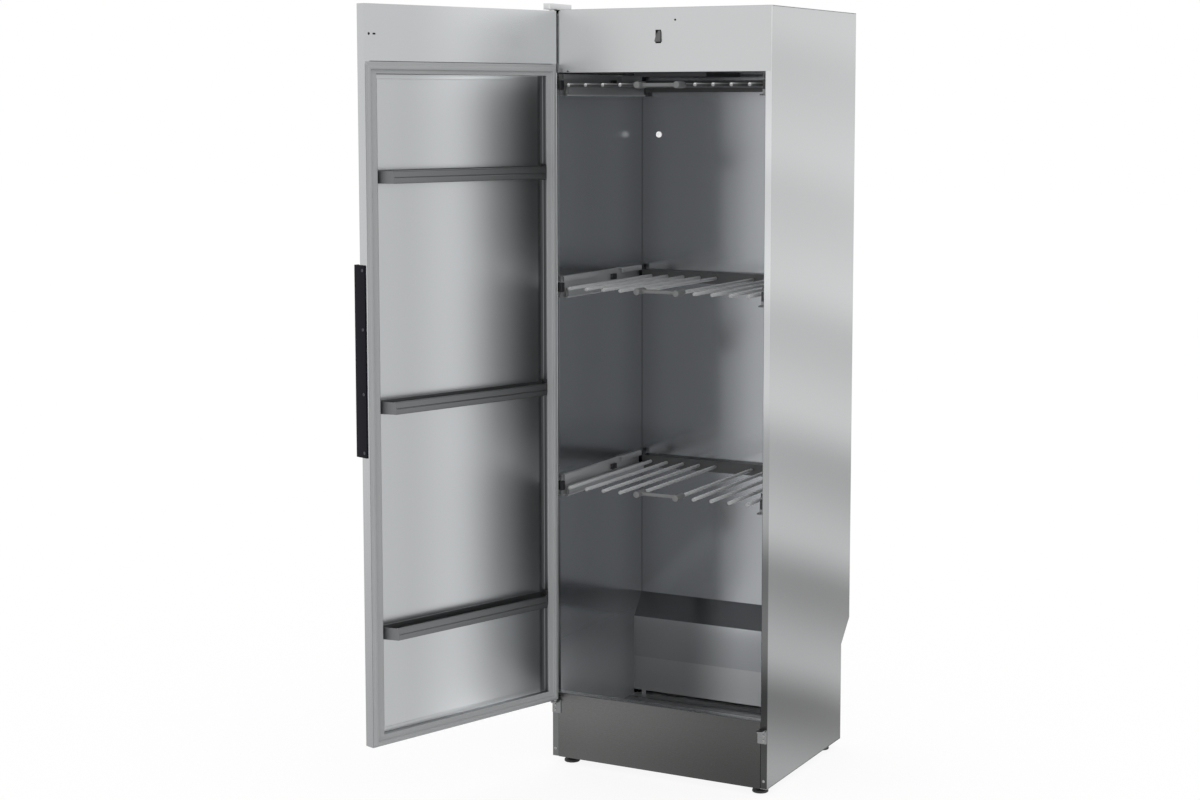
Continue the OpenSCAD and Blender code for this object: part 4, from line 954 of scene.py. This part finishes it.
# %% Make the mains inlet
INLET = np.array([200, 265, 1840])
well = [(0, 0), (0, 1.3), (0.04, 2.0), (0.96, 2.0), (1, 1.6), (1, -20), (0.3, -20), (0.3, 0)]
inlet = [hoop(rectangle_hoop(well, (-29, -18, 29, 18), (-12.5, -8.5, 12.5, 8.5)) + INLET),
         skin(bar(box_outline(-13, 13, -9, 9, 1), -20, -17, "y") + INLET)]
for x, z in ((-7, -2), (0, 2), (7, -2)):
    inlet.append(skin(bar(box_outline(x - 1, x + 1, z - 2, z + 2, 0.4), -18, -3, "y", 0.5) + INLET))
add_piece("mains.inlet", inlet, "cabinet", "black_plastic", ["power_inlet"])

# %% Make the net of the lint screen
HALF_NET, WIRE = 92, 0.6
lower, upper = (-60, 1741.6, -76, 116, "y"), (20, 1742.2, -156, 36, "x")
wires = []
for t in np.linspace(-HALF_NET, HALF_NET, 42):
    for middle, z, start, end, axis in (lower, upper):
        low = t + middle - WIRE / 2
        wires.append(skin(bar(box_outline(low, low + WIRE, z, z + WIRE, 0.1, 2), start, end, axis)))
add_piece("lint.screen", wires, "cabinet", "filter_plastic")

# %% [markdown]
# ## Controls on the door's front
# The photograph shows the door from behind, so the controls are a plain design of the kind such
# a cabinet has: a glossy black strip, a dark window flush in it and three round buttons. The
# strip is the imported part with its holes. Each button is a turned cap with a dished middle.

# %% Make the window and the buttons of the control strip
PANEL = np.array([293.5, -28.0, 1832.5])  # the middle of the control strip on the door
glass = bar(box_outline(-40, 35, -12, 12, 2.5, 6), -2.75, -2.4, "y", 0.12) + PANEL
add_piece("controls.window", [skin(on_door(glass))], "door", "window_glass", ["display_window"])
button = (
    turned([(7.0, 1.3), (7.0, -3.2), (6.6, -3.8), (5.9, -4.0), (5.4, -3.9), (3.0, -3.5),
            (0.3, -3.4)], 40),
    turned([(2.0, 6.0), (2.0, 1.0)], 16),
    turned([(8.0, 1.7), (8.2, 1.5), (8.2, 0.5), (8.0, 0.3)], 32),
)
for button_name, x in (("power_button", -78), ("program_button", 58), ("start_button", 80)):
    parts = [skin(on_door(along(shape, "y", (x, 0, 0)) + PANEL)) for shape in button]
    add_piece("controls." + button_name, parts, button_name, "button_plastic", [button_name])

# %% [markdown]
# ## Studio
# The photograph is a cut-out on white with soft light from all round. A large pale floor and a
# white world give that. The camera sees the floor as white with only a breath of shadow: the
# Light Path node tells camera and mirror rays from the rays that carry light.

# %% Floor
SPAN = 30.0  # half the floor's side, in metres
corners = [(-SPAN, -SPAN, 0), (SPAN, -SPAN, 0), (SPAN, SPAN, 0), (-SPAN, SPAN, 0)]
floor_mesh = bpy.data.meshes.new("floor")
floor_mesh.from_pydata(corners, [], [(0, 1, 2, 3)])
floor = new_object("floor", floor_mesh)
floor_material = bpy.data.materials.new("pale_floor")
floor_material.use_nodes = True
tree = floor_material.node_tree
surface = tree.nodes["Principled BSDF"]
fill(tree, surface, Base_Color=(0.80, 0.80, 0.80, 1), Roughness=0.9)
path = node(tree, "LightPath")
seen = compute(tree, "MAXIMUM", path["Is Camera Ray"], path["Is Glossy Ray"])
seen = compute(tree, "MAXIMUM", seen, path["Is Transmission Ray"])
share = compute(tree, "MULTIPLY", seen, 0.85)
glow = node(tree, "Emission", Color=(1, 1, 1, 1), Strength=1.035)[0]
blend = node(tree, "MixShader", _0=share, _1=surface.outputs[0], _2=glow)[0]
tree.links.new(blend, tree.nodes["Material Output"].inputs["Surface"])
floor_mesh.materials.append(floor_material)

# %% World and lamp
world = bpy.data.worlds.new("studio")
bpy.context.scene.world = world
world.use_nodes = True
sky = world.node_tree.nodes["Background"]
fill(world.node_tree, sky, Color=(1, 1, 1, 1), Strength=1.0)

LAMP, AIM = np.array([3.2, -3.6, 5.2]), np.array([0, -0.2, 1.0])
lamp = bpy.data.lights.new("key lamp", "AREA")
lamp.shape, lamp.size, lamp.energy = "SQUARE", 3.0, 10
holder = new_object("key lamp", lamp)
holder.location = LAMP
x, y, z = AIM - LAMP
pitch, yaw = math.atan2(z, math.hypot(x, y)), math.atan2(y, x)
holder.rotation_euler = (math.pi / 2 + pitch, 0, yaw - math.pi / 2)

# %% Camera, fitted to the cabinet's corners and edges in the photograph
camera_data = bpy.data.cameras.new("camera")
camera = new_object("camera", camera_data)
camera.location = (2.2927, -4.8289, 1.6711)
camera.rotation_euler = (math.radians(83.944), 0, math.radians(27.611))
camera_data.sensor_width = 36
camera_data.lens = 63.4416
camera_data.shift_x, camera_data.shift_y = -0.01944, -0.06
bpy.context.scene.camera = camera
bpy.context.scene.view_settings.view_transform = "Standard"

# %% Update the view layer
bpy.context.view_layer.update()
